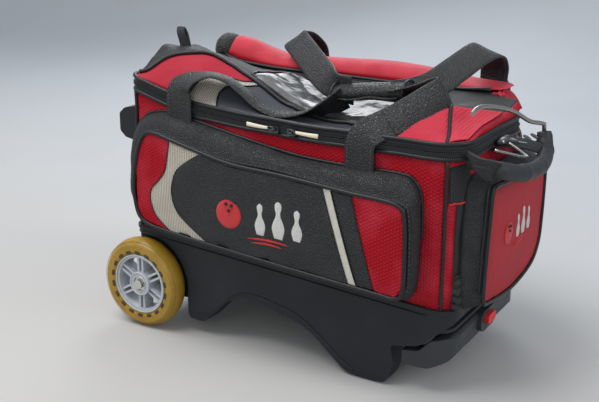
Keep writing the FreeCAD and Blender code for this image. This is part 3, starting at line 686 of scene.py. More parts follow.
FINISH = {
    "honeycomb_xz": red_honeycomb("xz"), "honeycomb_yz": red_honeycomb("yz"),
    "rib": red_rib(), "nylon_top": red_nylon("red_nylon_top", "xy"),
    "nylon_end": red_nylon("red_nylon_end", "yz", 0.3), "honeycomb_xy": red_honeycomb("xy"),
    "silver_xz": silver_mesh("silver_mesh_xz", "xz"), "silver_xy": silver_mesh("silver_mesh_xy", "xy"),
    "stripe": silver_piping(), "leather": leather("pocket_leather"),
    "strap": leather("strap_leather", (0.0145, 0.0152, 0.0165), 0.35, 3.2, 0.6, 0.5),
    "gusset": leather("gusset_leather", (0.014, 0.015, 0.017), 0.42, 2.6, 0.6),
    "vinyl_cloth": smooth_vinyl(), "mesh_xz": black_mesh("xz"), "mesh_xy": black_mesh("xy"),
    "mesh_yz": black_mesh("yz"), "webbing": webbing(), "lining": black_cloth(), "piping": piping_black(),
    "base": moulded("base_plastic", (0.0115, 0.0140, 0.0180), 0.44),
    "grip": moulded("grip_plastic", (0.028, 0.031, 0.035), 0.4),
    "rubber": moulded("rubber", (0.026, 0.028, 0.032), 0.5, 0.9, 0.1),
    "button": moulded("button_red", (0.62, 0.02, 0.022), 0.32, 0.8, 0.03, 0.1),
    "hub": moulded("hub_plastic", (0.44, 0.47, 0.50), 0.36, 0.9, 0.04, 0.15),
    # Painted shade: dark plates stand in for the shaded window openings of the wheels.
    "window_shade": moulded("tyre_window", (0.055, 0.040, 0.018), 0.5),
    "steel": metal("bright_steel", (0.62, 0.62, 0.60), 0.22),
    "wire": metal("wire_steel", (0.36, 0.34, 0.31), 0.3),
    "aluminium": metal("tube_aluminium", (0.75, 0.76, 0.78), 0.3, (30, 1, 1)),
    "gunmetal": metal("slider_metal", (0.10, 0.105, 0.11), 0.35),
    "pull": moulded("pull_enamel", (0.74, 0.68, 0.52), 0.35, 0.8, 0.05, 0.2),
    "urethane": urethane(), "clear": clear_vinyl(), "zip": zip_cloth(), "foam": foam(),
    "coil": moulded("zip_coil", (0.050, 0.053, 0.058), 0.3, 0.8, 0.04),
    "board": moulded("floor_board", (0.022, 0.022, 0.024), 0.7),
    "thread": embroidery("thread_grey", (0.10, 0.105, 0.11)),
    "white_thread": embroidery("thread_white", (0.78, 0.78, 0.76)),
    "red_thread": embroidery("thread_red", (0.70, 0.012, 0.018)),
    "elastic": webbing("elastic", (0.016, 0.017, 0.019)),
}

SLOT_FINISHES = {
    "red_fabric": ("honeycomb_xy", "honeycomb_xz", "honeycomb_yz", "nylon_top", "nylon_end"),
    "black_leather": ("strap", "gusset"), "black_mesh": ("mesh_xy", "mesh_xz", "mesh_yz"),
    "piping_black": ("piping", "thread"), "webbing_black": ("webbing", "elastic"),
    "zip_black": ("zip", "coil"), "pocket_face": ("red_thread",),
    "base_plastic": ("base",), "clear_vinyl": ("clear",),
    "urethane": ("urethane", "window_shade"), "slider_metal": ("gunmetal",), "wire_steel": ("steel",),
    "pull_brass": ("pull",), "grip_rubber": ("rubber",),
}
SLOT_OF = {finish: slot for slot, finishes in SLOT_FINISHES.items() for finish in finishes}

CAD_FINISH = {
    "base": ("base_tray", "stand_feet"), "rubber": ("foot_pads",),
    "hub": ("front_wheel_hub", "back_wheel_hub"),
    "urethane": ("front_wheel_tyre", "back_wheel_tyre"),
    "steel": ("axle", "axle_nuts", "axle_washers", "front_wheel_bearings", "back_wheel_bearings",
              "button_spring", "latch_rods", "floor_rivets"),
    "aluminium": ("handle_outer_tubes", "handle_mid_tubes", "handle_inner_tubes"),
    "grip": ("handle_tube_clamps", "mid_tube_collars", "pull_grip"), "button": ("release_button",),
    "board": ("floor_board",), "foam": ("ball_cradle",), "gunmetal": ("left_zip_slider", "right_zip_slider"),
    "wire": ("end_handle_wire",), "pull": ("left_zip_pull", "right_zip_pull"),
}


def dress_frame():
    """Give every carried-over CAD node its finish."""
    for key, names in CAD_FINISH.items():
        for name in names:
            obj = frame["nodes"][name]
            obj.data.materials.clear()
            obj.data.materials.append(FINISH[key])


# ---------------------------------------------------------------- side pockets

POCKET_NEAR = -157.6
POCKET_MID = -141.0
POCKET_BACK = -126.0
FACE_POINTS = [(-208, 160), (-158, 151), (-57, 143), (29, 137), (129, 131), (155, 130), (165, 141),
               (166, 190), (164, 229), (158, 240), (140, 244), (98, 246), (59, 249), (2, 253), (-66, 256),
               (-111, 264), (-161, 275), (-185, 280), (-201, 276), (-212, 256), (-220, 222), (-221, 188)]
RIM_POINTS = [(-228, 152), (-160, 144), (-57, 137), (29, 130), (131, 124), (161, 124), (171, 139),
              (173, 195), (171, 243), (161, 263), (143, 268), (98, 268), (59, 268), (2, 271), (-66, 281),
              (-111, 289), (-161, 298), (-189, 301), (-221, 292), (-239, 266), (-246, 224), (-243, 185)]
FACE_LOW = edge_line(FACE_POINTS[:6])
FACE_TOP = edge_line(FACE_POINTS[9:18])
LEFT_SIDE = smooth([FACE_POINTS[0], FACE_POINTS[21], FACE_POINTS[20], FACE_POINTS[19], FACE_POINTS[18],
                    FACE_POINTS[17]])
RED_TO_SILVER = smooth([(-163, 152), (-185, 170), (-192, 184), (-194, 197), (-190, 208), (-178, 220),
                        (-168, 234), (-164, 253), (-161, 275)])
SILVER_TO_LEATHER = smooth([(-103, 147), (-138, 170), (-153, 185), (-159, 205), (-157, 221), (-150, 237),
                            (-134, 250), (-111, 264)])
STRIPE_LEFT = [(96, 133), (59, 249)]
STRIPE_RIGHT = [(107, 132), (70, 248)]
BAND_RIGHT = [(129, 131), (97, 246)]
HINGE_FREE, HINGE_SLOPE = 152.0, 0.0716
RIGHT_SIDE = smooth([FACE_POINTS[5], FACE_POINTS[6], FACE_POINTS[7], FACE_POINTS[8], FACE_POINTS[9]])


def with_depth(points, y):
    return [(x, y, z) for x, z in points]


def pocket_cushion(name, side, body):
    """The padded panel of a long pocket; the sewn colour panels are draped on it."""
    outline = smooth(FACE_POINTS, 4, closed=True)
    verts, faces = prism(outline, "y", side * -POCKET_NEAR, side * (-POCKET_NEAR - 7.5))
    held = near_curve(with_depth(outline, side * (-POCKET_NEAR - 3.5)), 5.5)
    return cushion(name, verts, faces, 4.5, held, 5.0, "lining", body)


def pocket_gusset(name, side, body):
    """Crumpled leather wall of the pocket, swelling between the bag and the panel."""
    face, rim = smooth(FACE_POINTS, 6, closed=True), smooth(RIM_POINTS, 6, closed=True)
    middle = rim.mean(axis=0)
    out = []
    for i in range(len(face)):
        f, r = face[i], rim[i]
        away = unit(r - middle)
        line = smooth([(*(r - away * 2.0), POCKET_BACK), (*r, POCKET_MID + 7),
                       (*(r * 0.55 + f * 0.45 + away * 3.2), POCKET_MID - 5),
                       (*(f + away * 2.5), POCKET_NEAR + 5), (*(f + away * 0.6), POCKET_NEAR)], 4)
        row = []
        for k, (x, z, y) in enumerate(line):
            share = math.sin(math.pi * k / (len(line) - 1))
            push = share * folds((x, y * 1.6, z), 26, 2.4, (1.3, 1, 1)) + share * folds((x, y, z), 9, 0.5)
            row.append((x + away[0] * push, -side * y if side > 0 else y, z + away[1] * push))
        out.append(row)
    rows, cols = len(out), len(out[0])
    verts = np.array(out).reshape(-1, 3)
    return piece(name, verts, grid_faces(rows, cols, wrap_rows=True), "gusset", body, thick=1.6)


def side_pocket(prefix, side, body, nodes):
    """side is -1 on the front, where it carries the emblem, and 1 on the back."""
    _, tree = pocket_cushion(prefix + "_pad", side, body)
    drop = draper(tree, (0, -side, 0), 60, 0.7)

    def lift(x, z):
        return drop((x, side * 160, z))

    low, top = FACE_LOW, FACE_TOP
    panels = (
        ("red_left", LEFT_SIDE, RED_TO_SILVER, "honeycomb_xz", "pocket_face", 12),
        ("silver", RED_TO_SILVER, SILVER_TO_LEATHER, "silver_xz", "pocket_face", 16),
        ("leather", SILVER_TO_LEATHER, STRIPE_LEFT, "leather", "black_leather", 48),
        ("stripe", STRIPE_LEFT, STRIPE_RIGHT, "stripe", "pocket_face", 4),
        ("band", STRIPE_RIGHT, BAND_RIGHT, "leather", "black_leather", 7),
        ("red_right", BAND_RIGHT, RIGHT_SIDE, "honeycomb_xz", "pocket_face", 14),
    )
    first = None
    for part, left, right, finish, slot, across in panels:
        points = patch(left, right, low, top, lift, across, 26)
        if part == "leather":
            for p in points.reshape(-1, 3):
                p[1] += side * (0.7 + folds((p[0], 0, p[2]), 60, 0.5))
        made = grid(prefix + "_" + part, points, finish, body, slot, thick=-0.9)
        first = first or made
    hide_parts(*nodes)
    seams = (("a", RED_TO_SILVER), ("b", SILVER_TO_LEATHER), ("c", even(STRIPE_LEFT, 20)),
             ("d", even(STRIPE_RIGHT, 20)), ("e", even(BAND_RIGHT, 20)))
    for key, line in seams:
        inner = even(line, 40)[1:-1]
        rail = [np.array(lift(x, z)) + (0, side * 1.3, 0) for x, z in inner]
        tube(prefix + "_seam_" + key, rail, 0.55, "piping", body, sides=6)
    rail = [np.array(lift(x + 2.2, z)) + (0, side * 1.0, 0) for x, z in even(SILVER_TO_LEATHER, 60)[2:-2]]
    stitches(prefix + "_seam_stitches", rail, (0, side, 0), "thread", body)
    face = smooth(FACE_POINTS, 8, closed=True)
    cord = [(x, side * 158.9, z) for x, z in face]
    tube(prefix + "_edge_piping", cord, 2.6, "piping", body, closed=True)
    return lift


def pocket_trims(prefix, side, body):
    """Cords and zip of the fixed half of a long pocket."""
    face, rim = smooth(FACE_POINTS, 8, closed=True), smooth(RIM_POINTS, 8, closed=True)
    middle = face.mean(axis=0)
    away = unit(face - middle)
    inner = face + away * 3.2
    free = lambda run: np.array([p for p in run if p[1] > HINGE_FREE - HINGE_SLOPE * p[0]])
    tube(prefix + "_zip_cord", [(x, side * 154.6, z) for x, z in free(inner)], 1.5, "zip", body, sides=8)
    start, stop = 56, 176
    top = rim[start:stop]
    tube(prefix + "_rim_piping", [(x, side * 129.0, z + 1.2) for x, z in top], 1.9, "piping", body)
    teeth = free(even(inner + away * 1.2, 190)[:-1])
    mid = [(x, side * 156.3, z) for x, z in teeth]
    boxes(prefix + "_zip_teeth", mid, np.gradient(np.array(mid), axis=0), [(0, side, 0)] * len(mid),
          (1.5, 2.2, 1.3), "coil", body)


# ---------------------------------------------------------------- emblem


PIN_HALF = [(0, 5.2), (4, 6.4), (12, 8.2), (19, 6.6), (26, 3.4), (31, 3.0), (36, 4.3), (41, 3.8), (44, 0)]


def pin_outline(size):
    side = smooth([(w, h) for h, w in PIN_HALF], 5)
    left = [(-w, h) for w, h in side[::-1]]
    return [(w * size, (h - 22) * size) for w, h in list(side) + left[1:-1]]


def sewn_shape(name, outline, centre, lift, finish, body, plane, side=-1, proud=1.0):
    """Raised embroidery: an outline domed slightly and laid on a draped panel."""
    verts = []
    steps = (1.0, 0.96, 0.8, 0.5, 0.02)
    rise = (0.0, 0.7, 1.0, 1.1, 1.15)
    normal = np.array((0, side, 0) if plane == "xz" else (1, 0, 0), float)
    for s, h in zip(steps, rise):
        for a, b in outline:
            p = np.array(lift(centre[0] + a * s, centre[1] + b * s))
            verts.append(p + normal * proud * (1.0 + h))
    return piece(name, verts, grid_faces(len(steps), len(outline), wrap_cols=True, caps=True), finish, body,
                 "pocket_face")


def emblem(prefix, lift, centre, size, body, plane, flip=1):
    """Generic bowling badge: a red ball with finger holes rolling at three white pins."""
    cx, cz = centre
    ball = circle(19 * size, 40)
    at = (cx - flip * 44 * size, cz - 4 * size)
    sewn_shape(prefix + "_ball", ball, at, lift, "red_thread", body, plane)
    for k, (a, b) in enumerate(((-3, 9), (5, 8), (1, 1))):
        hole = circle(2.3 * size, 16)
        sewn_shape(f"{prefix}_hole_{k}", hole, (cx - flip * (44 - a) * size, cz + b * size), lift,
                   "lining", body, plane, proud=1.9)
    for k, (a, s, drop) in enumerate(((8, 0.95, 3), (34, 1.12, 0), (60, 0.95, 3))):
        pin = pin_outline(s * size)
        sewn_shape(f"{prefix}_pin_{k}", pin, (cx + flip * (a - 6) * size, cz - drop * size), lift,
                   "white_thread", body, plane)
    for k, (rise, length) in enumerate(((-30, 60), (-35, 44))):
        dash = [(cx + flip * (t * length - 0.35 * length + 4) * size,
                 cz + (rise + 2.0 * math.sin(t * 3)) * size) for t in np.linspace(0, 1, 18)]
        normal = (0, -1.2, 0) if plane == "xz" else (1.2, 0, 0)
        line = [np.array(lift(a, b)) + normal for a, b in dash]
        taper = [0.35 + 0.65 * math.sin(math.pi * t) for t in np.linspace(0.03, 0.97, 18)]
        tube(f"{prefix}_dash_{k}", line, 1.5 * size, "red_thread", body, scale=taper)


# ---------------------------------------------------------------- end pocket

END_NEAR = 238.0
END_FACE = [(-88, 117), (-30, 109), (20, 109), (70, 118), (92, 138), (98, 165), (100, 205), (99, 236),
            (92, 247), (60, 249), (10, 250), (-50, 253), (-80, 256), (-89, 249), (-92, 225), (-97, 180),
            (-100, 135), (-98, 121)]
END_RIM = [(-98, 112), (-30, 108), (20, 108), (76, 114), (98, 134), (104, 165), (106, 205), (105, 244),
           (96, 256), (60, 260), (10, 262), (-50, 264), (-86, 266), (-99, 256), (-104, 225), (-106, 180),
           (-107, 135), (-106, 117)]


def end_pocket():
    outline = smooth(END_FACE, 5, closed=True)
    verts, faces = prism(outline, "x", END_NEAR, END_NEAR - 7.5)
    held = near_curve([(END_NEAR - 3.5, y, z) for y, z in outline], 5.5)
    pad, tree = cushion("end_pocket_pad", verts, faces, 4.5, held, 6.0, "lining", "end_pocket")
    drop = draper(tree, (-1, 0, 0), 60, 0.7)

    def lift(y, z):
        return drop((END_NEAR + 3, y, z))

    middle = outline.mean(axis=0)
    sheet = []
    for y, z in outline:
        ray = [middle + (np.array((y, z)) - middle) * s * 0.985 for s in np.linspace(1, 0.01, 22)]
        sheet.append([lift(a, b) for a, b in ray])
    made = piece("end_pocket_face", np.array(sheet).reshape(-1, 3),
                 grid_faces(len(sheet), 22, wrap_rows=True), "nylon_end", "end_pocket",
                 thick=-0.9)
    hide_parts("end_pocket_panel")
    tube("end_pocket_edge_piping", [(END_NEAR + 1.6, y, z) for y, z in smooth(END_FACE, 8, closed=True)], 2.4,
         "piping", "end_pocket", closed=True)
    rail = [np.array(lift(*(middle + (np.array(p) - middle) * 0.945))) + (1.0, 0, 0) for p in outline]
    stitches("end_pocket_stitches", rail + rail[:1], (1, 0, 0), "red_thread", "end_pocket",
             slot="red_fabric")
    emblem("end_emblem", lift, (-2, 190), 0.72, "end_pocket", "yz")
    end_gusset()


def end_gusset():
    """Puckered black wall of the end pocket, its near side soft and full."""
    face, rim = smooth(END_FACE, 7, closed=True), smooth(END_RIM, 7, closed=True)
    middle = rim.mean(axis=0)
    out = []
    for f, r in zip(face, rim):
        away = unit(r - middle)
        line = smooth([(209.5, *r), (216, *(r + away * 3)), (226, *((r + f) / 2 + away * 2.5)),
                       (234, *(f + away * 2.5)), (END_NEAR, *(f + away * 0.5))], 4)
        row = []
        for k, (x, y, z) in enumerate(line):
            share = math.sin(math.pi * k / (len(line) - 1))
            push = share * folds((x * 1.5, y, z), 20, 2.6) + share * folds((x, y, z), 7, 0.6)
            row.append((x, y + away[0] * push, z + away[1] * push))
        out.append(row)
    made = piece("end_pocket_wall", np.array(out).reshape(-1, 3),
                 grid_faces(len(out), len(out[0]), wrap_rows=True), "gusset", "bag",
                 thick=1.6)
    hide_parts("end_pocket_gusset")
    away = unit(face - middle)
    for key, x, push, radius in (("outer", 235.0, 3.4, 1.5), ("inner", 213.5, 9.0, 1.7)):
        low = 132.0 if key == "outer" else 0.0
        cord = [(x, *(f + a * push)) for f, a in zip(face, away) if f[1] > low]
        tube("end_pocket_cord_" + key, cord, radius, "piping", "bag",
             closed=key == "inner", sides=8)


# ---------------------------------------------------------------- bag walls

WALL = dict(left=-243.0, right=209.0, half=124.2, r_left=12.0, r_right=28.0)
ZIP_BEND, ZIP_CORNER, ZIP_FLAT, ZIP_RISE, ZIP_STEEP = -12.0, -150.0, 291.0, 0.058, 0.223
RIM_SLOPE = (140.0 - 110.5) / 463.0
FLAP_LINE = ((-243, 350, 364), (-232, 347, 369), (-208, 340, 368), (-180, 337, 360), (-150, 335, 352),
             (-91, 334, 351), (-51, 334, 352), (32, 333, 354), (85, 334, 350), (134, 334, 343),
             (173, 336, 338.5), (189, 335.5, 337.5))


def zip_low(x):
    """Height of the zip's lower edge at x, eased round its two bends."""
    soft = lambda run, reach: (run + math.sqrt(run * run + reach * reach)) / 2
    return ZIP_FLAT + ZIP_RISE * soft(ZIP_BEND - x, 30) + ZIP_STEEP * soft(ZIP_CORNER - x, 20)


def rim_top(x):
    return 140.0 - RIM_SLOPE * (x + 250.0)


def wall_between(first, last):
    """Plan points of the bag wall and their outward directions, between two shares of the way round."""
    plan = rounded_plan(WALL["left"], WALL["right"], WALL["half"], WALL["r_left"], WALL["r_right"], 3.0)
    tangent = unit(np.roll(plan, -1, axis=0) - np.roll(plan, 1, axis=0))
    out = np.stack([tangent[:, 1], -tangent[:, 0]], axis=1)
    centre = np.array((-20.0, 0.0))
    out *= np.sign(np.sum(out * (plan - centre), axis=1, keepdims=True))
    if first <= last:
        keep = [i for i in range(len(plan)) if first <= i / (len(plan) - 1) <= last]
    else:
        keep = [i for i in range(len(plan)) if i / (len(plan) - 1) >= first or i / (len(plan) - 1) <= last]
    return plan[keep], out[keep]


def ramp(value, low, high):
    t = min(1.0, max(0.0, (value - low) / (high - low)))
    return t * t * (3 - 2 * t)


def slump(x, y, z):
    """Lean the soft rear corner at the pull-grip end inwards towards its top."""
    return x - 14.0 * ramp(z, 236, 306) * ramp(y, 42, 112) * ramp(x, 120, 185), y, z


def wall(name, plan, out, low, high, finish, nodes=(), lift=0.0, rows=26, thick=1.6):
    """Cloth wall over plan points, sagging outwards between the base rim and the zip."""
    sheet = []
    for (x, y), (nx, ny) in zip(plan, out):
        z0, z1 = low(x), high(x)
        column = []
        for k in range(rows + 1):
            z = z0 + (z1 - z0) * k / rows
            clear = min(1.0, max(0.0, (z - rim_top(x) - 3) / 18)) * min(1.0, max(0.0, (z1 + 1 - z) / 10))
            soft = clear * (2.2 + folds((x, y, z), 44, 1.5, (1.5, 1.5, 1)) + folds((x, y, z), 13, 0.3))
            column.append(slump(x + nx * (soft + lift), y + ny * (soft + lift), z))
        sheet.append(column)
    made = grid(name, sheet, finish, "bag", thick=thick)
    if nodes:
        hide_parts(*nodes)
    return made


def round_share(x, y):
    """How far round the wall plan, from 0 to 1, a place lies."""
    plan, _ = wall_between(0, 1)
    return float(np.argmin(np.sum((plan - (x, y)) ** 2, axis=1))) / (len(plan) - 1)


def bag_walls():
    hem_x, hem_z = [s[0] for s in FLAP_LINE], [s[1] for s in FLAP_LINE]
    back_top = lambda x: float(np.interp(x, hem_x, hem_z)) - 6.0 - 26.0 * ramp(x, 182, 209)
    front_left, front_right = round_share(-238, -124.2), round_share(196, -120)
    back_left, back_right = round_share(-238, 124.2), round_share(196, 120)
    side_left, side_right = round_share(-246, 38), round_share(209, 38)
    low = lambda x: rim_top(x) - 10
    zip_edge = lambda x: zip_low(x) + 0.6
    for name, first, last, high, plane, nodes in (
            ("front_cloth", front_left, front_right, zip_edge, "xz", ("front_panel",)),
            ("right_cloth_front", front_right, side_right, zip_edge, "yz", ("right_panel",)),
            ("right_cloth_back", side_right, back_right, back_top, "yz", ()),
            ("left_cloth_front", side_left, front_left, zip_edge, "yz", ("left_panel",)),
            ("left_cloth_back", back_left, side_left, back_top, "yz", ()),
            ("back_cloth", back_right, 1.0, back_top, "xz", ("back_panel",)),
            ("back_cloth_left", 0.0, back_left, back_top, "xz", ())):
        wall(name, *wall_between(first, last), low, high, "honeycomb_" + plane, nodes)
    corner_piping()
    right_end_trims()


def corner_piping():
    first = None
    for key, x, y, top in (("front_left", -239, -124.6, zip_low(-239)), ("front_right", 197.5, -121.8, 290),
                           ("back_left", -239, 123.2, 342), ("back_right", 197.5, 121.8, 312)):
        line = [slump(x + folds((x, y, z), 40, 0.8), y + math.copysign(1.6 + folds((y, x, z), 50, 0.8), y), z)
                for z in np.linspace(rim_top(x) + 1, top, 26)]
        made = tube("corner_cord_" + key, line, 2.2, "piping", "bag")
        first = first or made
    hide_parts("corner_piping")


def right_end_trims():
    """Net patch, red binding and gathered elastic between the front corner and the end pocket."""
    for side in (-1, 1):
        tag = "front" if side < 0 else "back"
        a, b = round_share(199.5, side * 119), round_share(209, side * 92)
        c = round_share(206, side * 112)
        near, far = (a, b) if side < 0 else (b, a)
        plan, out = wall_between(near, far)
        wall(f"end_net_{tag}", plan, out, lambda x: 240.0, lambda x: 284.0, "mesh_yz", lift=1.6, rows=14,
             thick=1.0)
        line = [(x + nx * 4.6, y + ny * 4.6, 240.0 + 0.5 * math.sin(x))
                for (x, y), (nx, ny) in zip(plan, out)]
        near, far = (c, b) if side < 0 else (b, c)
        wall(f"end_elastic_{tag}", *wall_between(near, far), lambda x: 118.0, lambda x: 242.0, "elastic",
             lift=1.9, rows=30, thick=1.2)
        tube(f"end_binding_{tag}", line, 1.3, "red_thread", "bag", "red_fabric", sides=8)
        gathers(f"end_gathers_{tag}", side)


def gathers(name, side):
    """Bunched elastic at the foot of the end pocket's near side."""
    rows = []
    for k in range(34):
        t = k / 33
        z = 112 + 42 * t
        ruffle = 3.2 * math.sin(t * 26) * (1 - 0.4 * t)
        row = []
        for m in range(10):
            s = m / 9
            swell = 7.0 * math.sin(math.pi * s) * (1 - 0.5 * t)
            row.append((207.5 + 5.5 * s + swell * 0.7 + 0.3 * ruffle,
                        side * (114 - 17 * s + swell * 0.8 + ruffle), z + 1.5 * math.sin(s * 9 + t * 5)))
        rows.append(row)
    grid(name, rows, "lining", "bag", "webbing_black", thick=1.4, level=1)


# ---------------------------------------------------------------- zip

ZIP_SIDE_END = 54.0
ZIP_PLAN = dict(left=-244.5, right=215.0, half=126.6, r_left=13.0, r_right=35.0)


def zip_path(out, rise, step=4.0):
    """Line round the zip, out millimetres from its plan and rise above its lower edge."""
    p = ZIP_PLAN
    plan = rounded_plan(p["left"], p["right"], p["half"], p["r_left"], p["r_right"], step)
    plan = plan[plan[:, 1] <= ZIP_SIDE_END]
    run = np.gradient(plan, axis=0)
    away = np.stack([run[:, 1], -run[:, 0]], axis=1) / np.linalg.norm(run, axis=1)[:, None]
    x, y = (plan + out * away).T
    return [(a, b, zip_low(a) + rise + folds((a, b, 0), 60, 0.9)) for a, b in zip(x, y)]


def zip_band(name, body, low, high, bow, finish, nodes, slot="zip_black"):
    """Woven tape between two heights, bowed outwards by bow."""
    lines = []
    for k in range(6):
        t = k / 5
        lines.append(zip_path(0.2 + bow * math.sin(math.pi * t), low + (high - low) * t))
    made = grid(name, np.array(lines), finish, body, slot, thick=1.0)
    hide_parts(*nodes)
    return made


def zip_teeth(name, body, rise, skew):
    line = even(zip_path(2.4, rise), 640)
    mid = (line[1:] + line[:-1]) / 2
    along = np.diff(line, axis=0) + (0, 0, skew)
    out = np.cross(np.diff(line, axis=0), (0, 0, 1))
    boxes(name, mid[::2], out[::2], along[::2], (2.2, 0.95, 1.9), "coil", body)


def zip_fastener():
    zip_band("zip_tape_lower", "bag", 0.0, 7.6, 0.7, "zip", ("zip_lower_tape", "zip_lower_coil"))
    zip_band("zip_tape_upper", "lid", 9.4, 17.2, 0.7, "zip", ("zip_upper_tape", "zip_upper_coil"))
    zip_teeth("zip_teeth_lower", "bag", 7.4, 0.25)
    zip_teeth("zip_teeth_upper", "lid", 9.6, -0.25)
    tube("zip_cord_lower", zip_path(1.6, 0.4), 2.5, "piping", "bag")
    tube("zip_cord_upper", zip_path(1.4, 17.4), 2.5, "piping", "lid")
    for rise, body, tag in ((4.0, "bag", "lower"), (13.4, "lid", "upper")):
        line = np.array(zip_path(1.5, rise))
        out = np.cross(np.gradient(line, axis=0), (0, 0, 1))
        stitches("zip_stitches_" + tag, line, out, "thread", body, 3.6, 2.4, 0.5, "zip_black")


def ring_link(name, centre, radius, wire, normal, body):
    n = unit(normal)
    a = unit(np.cross(n, (0.3, 0.2, 1)))
    b = np.cross(n, a)
    line = [np.array(centre) + radius * (math.cos(t) * a + 0.7 * math.sin(t) * b)
            for t in np.linspace(0, 2 * math.pi, 25)[:-1]]
    return tube(name, line, wire, "gunmetal", body, closed=True, sides=8)


PULLER_PROFILE = [(-2.3, -0.6), (-1.9, -1.1), (1.9, -1.1), (2.3, -0.6), (2.3, 0.6), (1.9, 1.1), (-1.9, 1.1),
                  (-2.3, 0.6)]


def zip_pulls():
    """Cord-and-enamel pullers with their rings; the CAD pulls give the place."""
    for name, side in (("left", -1), ("right", 1)):
        low, high = low_high(name + "_zip_pull")
        z = (low[2] + high[2]) / 2
        near, far = (high[0], low[0]) if side < 0 else (low[0], high[0])
        line = [(near + (far - near) * t, -135.0 - 1.2 * math.sin(t * 3), z + 1.5 - 3.0 * t * side * 0.4)
                for t in np.linspace(0.12, 1.12, 14)]
        taper = [0.75 + 0.35 * t for t in np.linspace(0, 1, 14)]
        r = rings(line, PULLER_PROFILE, across=[(0, 0, 1)] * 14, scale=taper)
        made = piece(name + "_puller", r.reshape(-1, 3), grid_faces(14, 8, wrap_cols=True, caps=True),
                     "pull", name + "_pull")
        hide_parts(name + "_zip_pull")
        ring_link(name + "_pull_ring", (near - side * 1.5, -136.0, z + 1.0), 4.2, 0.9, (0.2, 1, 0.3),
                  name + "_pull")


# ---------------------------------------------------------------- lid

LID_EDGE, RIDGE_Y, LID_BACK = -124.4, -64.0, 57.0
LID_ROWS = (LID_EDGE, -112.0, -88.0, RIDGE_Y, -22.0, 20.0, LID_BACK)
LID_HEIGHTS = (
    (-246, (344, 346, 358, 374, 368, 363, 332)),
    (-230, (340, 347, 360, 371, 367, 358, 330)),
    (-212, (335, 345, 362, 370, 365, 352, 330)),
    (-190, (329, 341, 360, 370, 362, 346, 330)),
    (-163, (322, 338, 357, 368, 358, 342, 330)),
    (-133, (318, 329, 344, 357, 351, 337, 330)),
    (-103, (316, 321, 333, 343, 341, 333, 330)),
    (-84, (315, 317, 325, 334, 334, 330, 330)),
    (-60, (313, 312, 314, 321, 322, 325, 330)),
    (-15, (310, 306, 303, 305, 308, 317, 330)),
    (50, (308, 304, 301, 300, 305, 316, 330)),
    (110, (308, 306, 304, 303, 309, 319, 330)),
    (150, (308, 316, 326, 331, 325, 327, 330)),
    (172, (308, 316, 326, 334, 329, 326, 330)),
    (192, (308, 312, 320, 325, 322, 324, 330)),
    (212, (308, 310, 314, 317, 319, 322, 328)),
)
LID_STEP = 3.0


def lid_table():
    """Lid heights on an even grid, smooth along the bag and then across it."""
    xs = np.arange(-246, 212.1, LID_STEP)
    ys = np.arange(LID_EDGE, LID_BACK + 0.1, LID_STEP)
    stations = np.array([s[0] for s in LID_HEIGHTS], float)
    heights = np.array([s[1] for s in LID_HEIGHTS], float)
    along = np.stack([ease(stations, heights[:, k], xs) for k in range(len(LID_ROWS))], axis=1)
    return xs, ys, np.stack([ease(np.array(LID_ROWS), row, ys) for row in along])


def ease(knots, values, where):
    """Smooth interpolation with slopes from the neighbouring knots."""
    slope = np.gradient(values, knots)
    i = np.clip(np.searchsorted(knots, where) - 1, 0, len(knots) - 2)
    h = knots[i + 1] - knots[i]
    t = (where - knots[i]) / h
    return ((2 * t ** 3 - 3 * t ** 2 + 1) * values[i] + (t ** 3 - 2 * t ** 2 + t) * h * slope[i]
            + (3 * t ** 2 - 2 * t ** 3) * values[i + 1] + (t ** 3 - t ** 2) * h * slope[i + 1])


LID_XS, LID_YS, LID_ZS = lid_table()


def lid_z(x, y):
    """Height of the lid cloth, with its folds."""
    fx = min(max((x + 246) / LID_STEP, 0), len(LID_XS) - 1.001)
    fy = min(max((y - LID_EDGE) / LID_STEP, 0), len(LID_YS) - 1.001)
    i, j = int(fx), int(fy)
    u, v = fx - i, fy - j
    flat = ((1 - u) * (1 - v) * LID_ZS[i, j] + u * (1 - v) * LID_ZS[i + 1, j] + (1 - u) * v * LID_ZS[i, j + 1]
            + u * v * LID_ZS[i + 1, j + 1])
    free = min(1.0, max(0.0, (y - LID_EDGE) / 14)) * min(1.0, max(0.0, (LID_BACK + 1 - y) / 14))
    return flat + free * (folds((x, y, 0), 52, 2.6, (1, 1.6, 1)) + folds((x, y, 9), 17, 0.7))


def lid_lift(raised=0.0):
    return lambda x, y: (x, y, lid_z(x, y) + raised)


RIDGE = [(-239, -117), (-229, -110), (-222, -98), (-208, -82), (-190, -72), (-163, -66), (-133, -64),
         (-103, -64), (-65, -66), (-15, -66), (50, -64), (110, -60), (140, -58), (172, -58)]


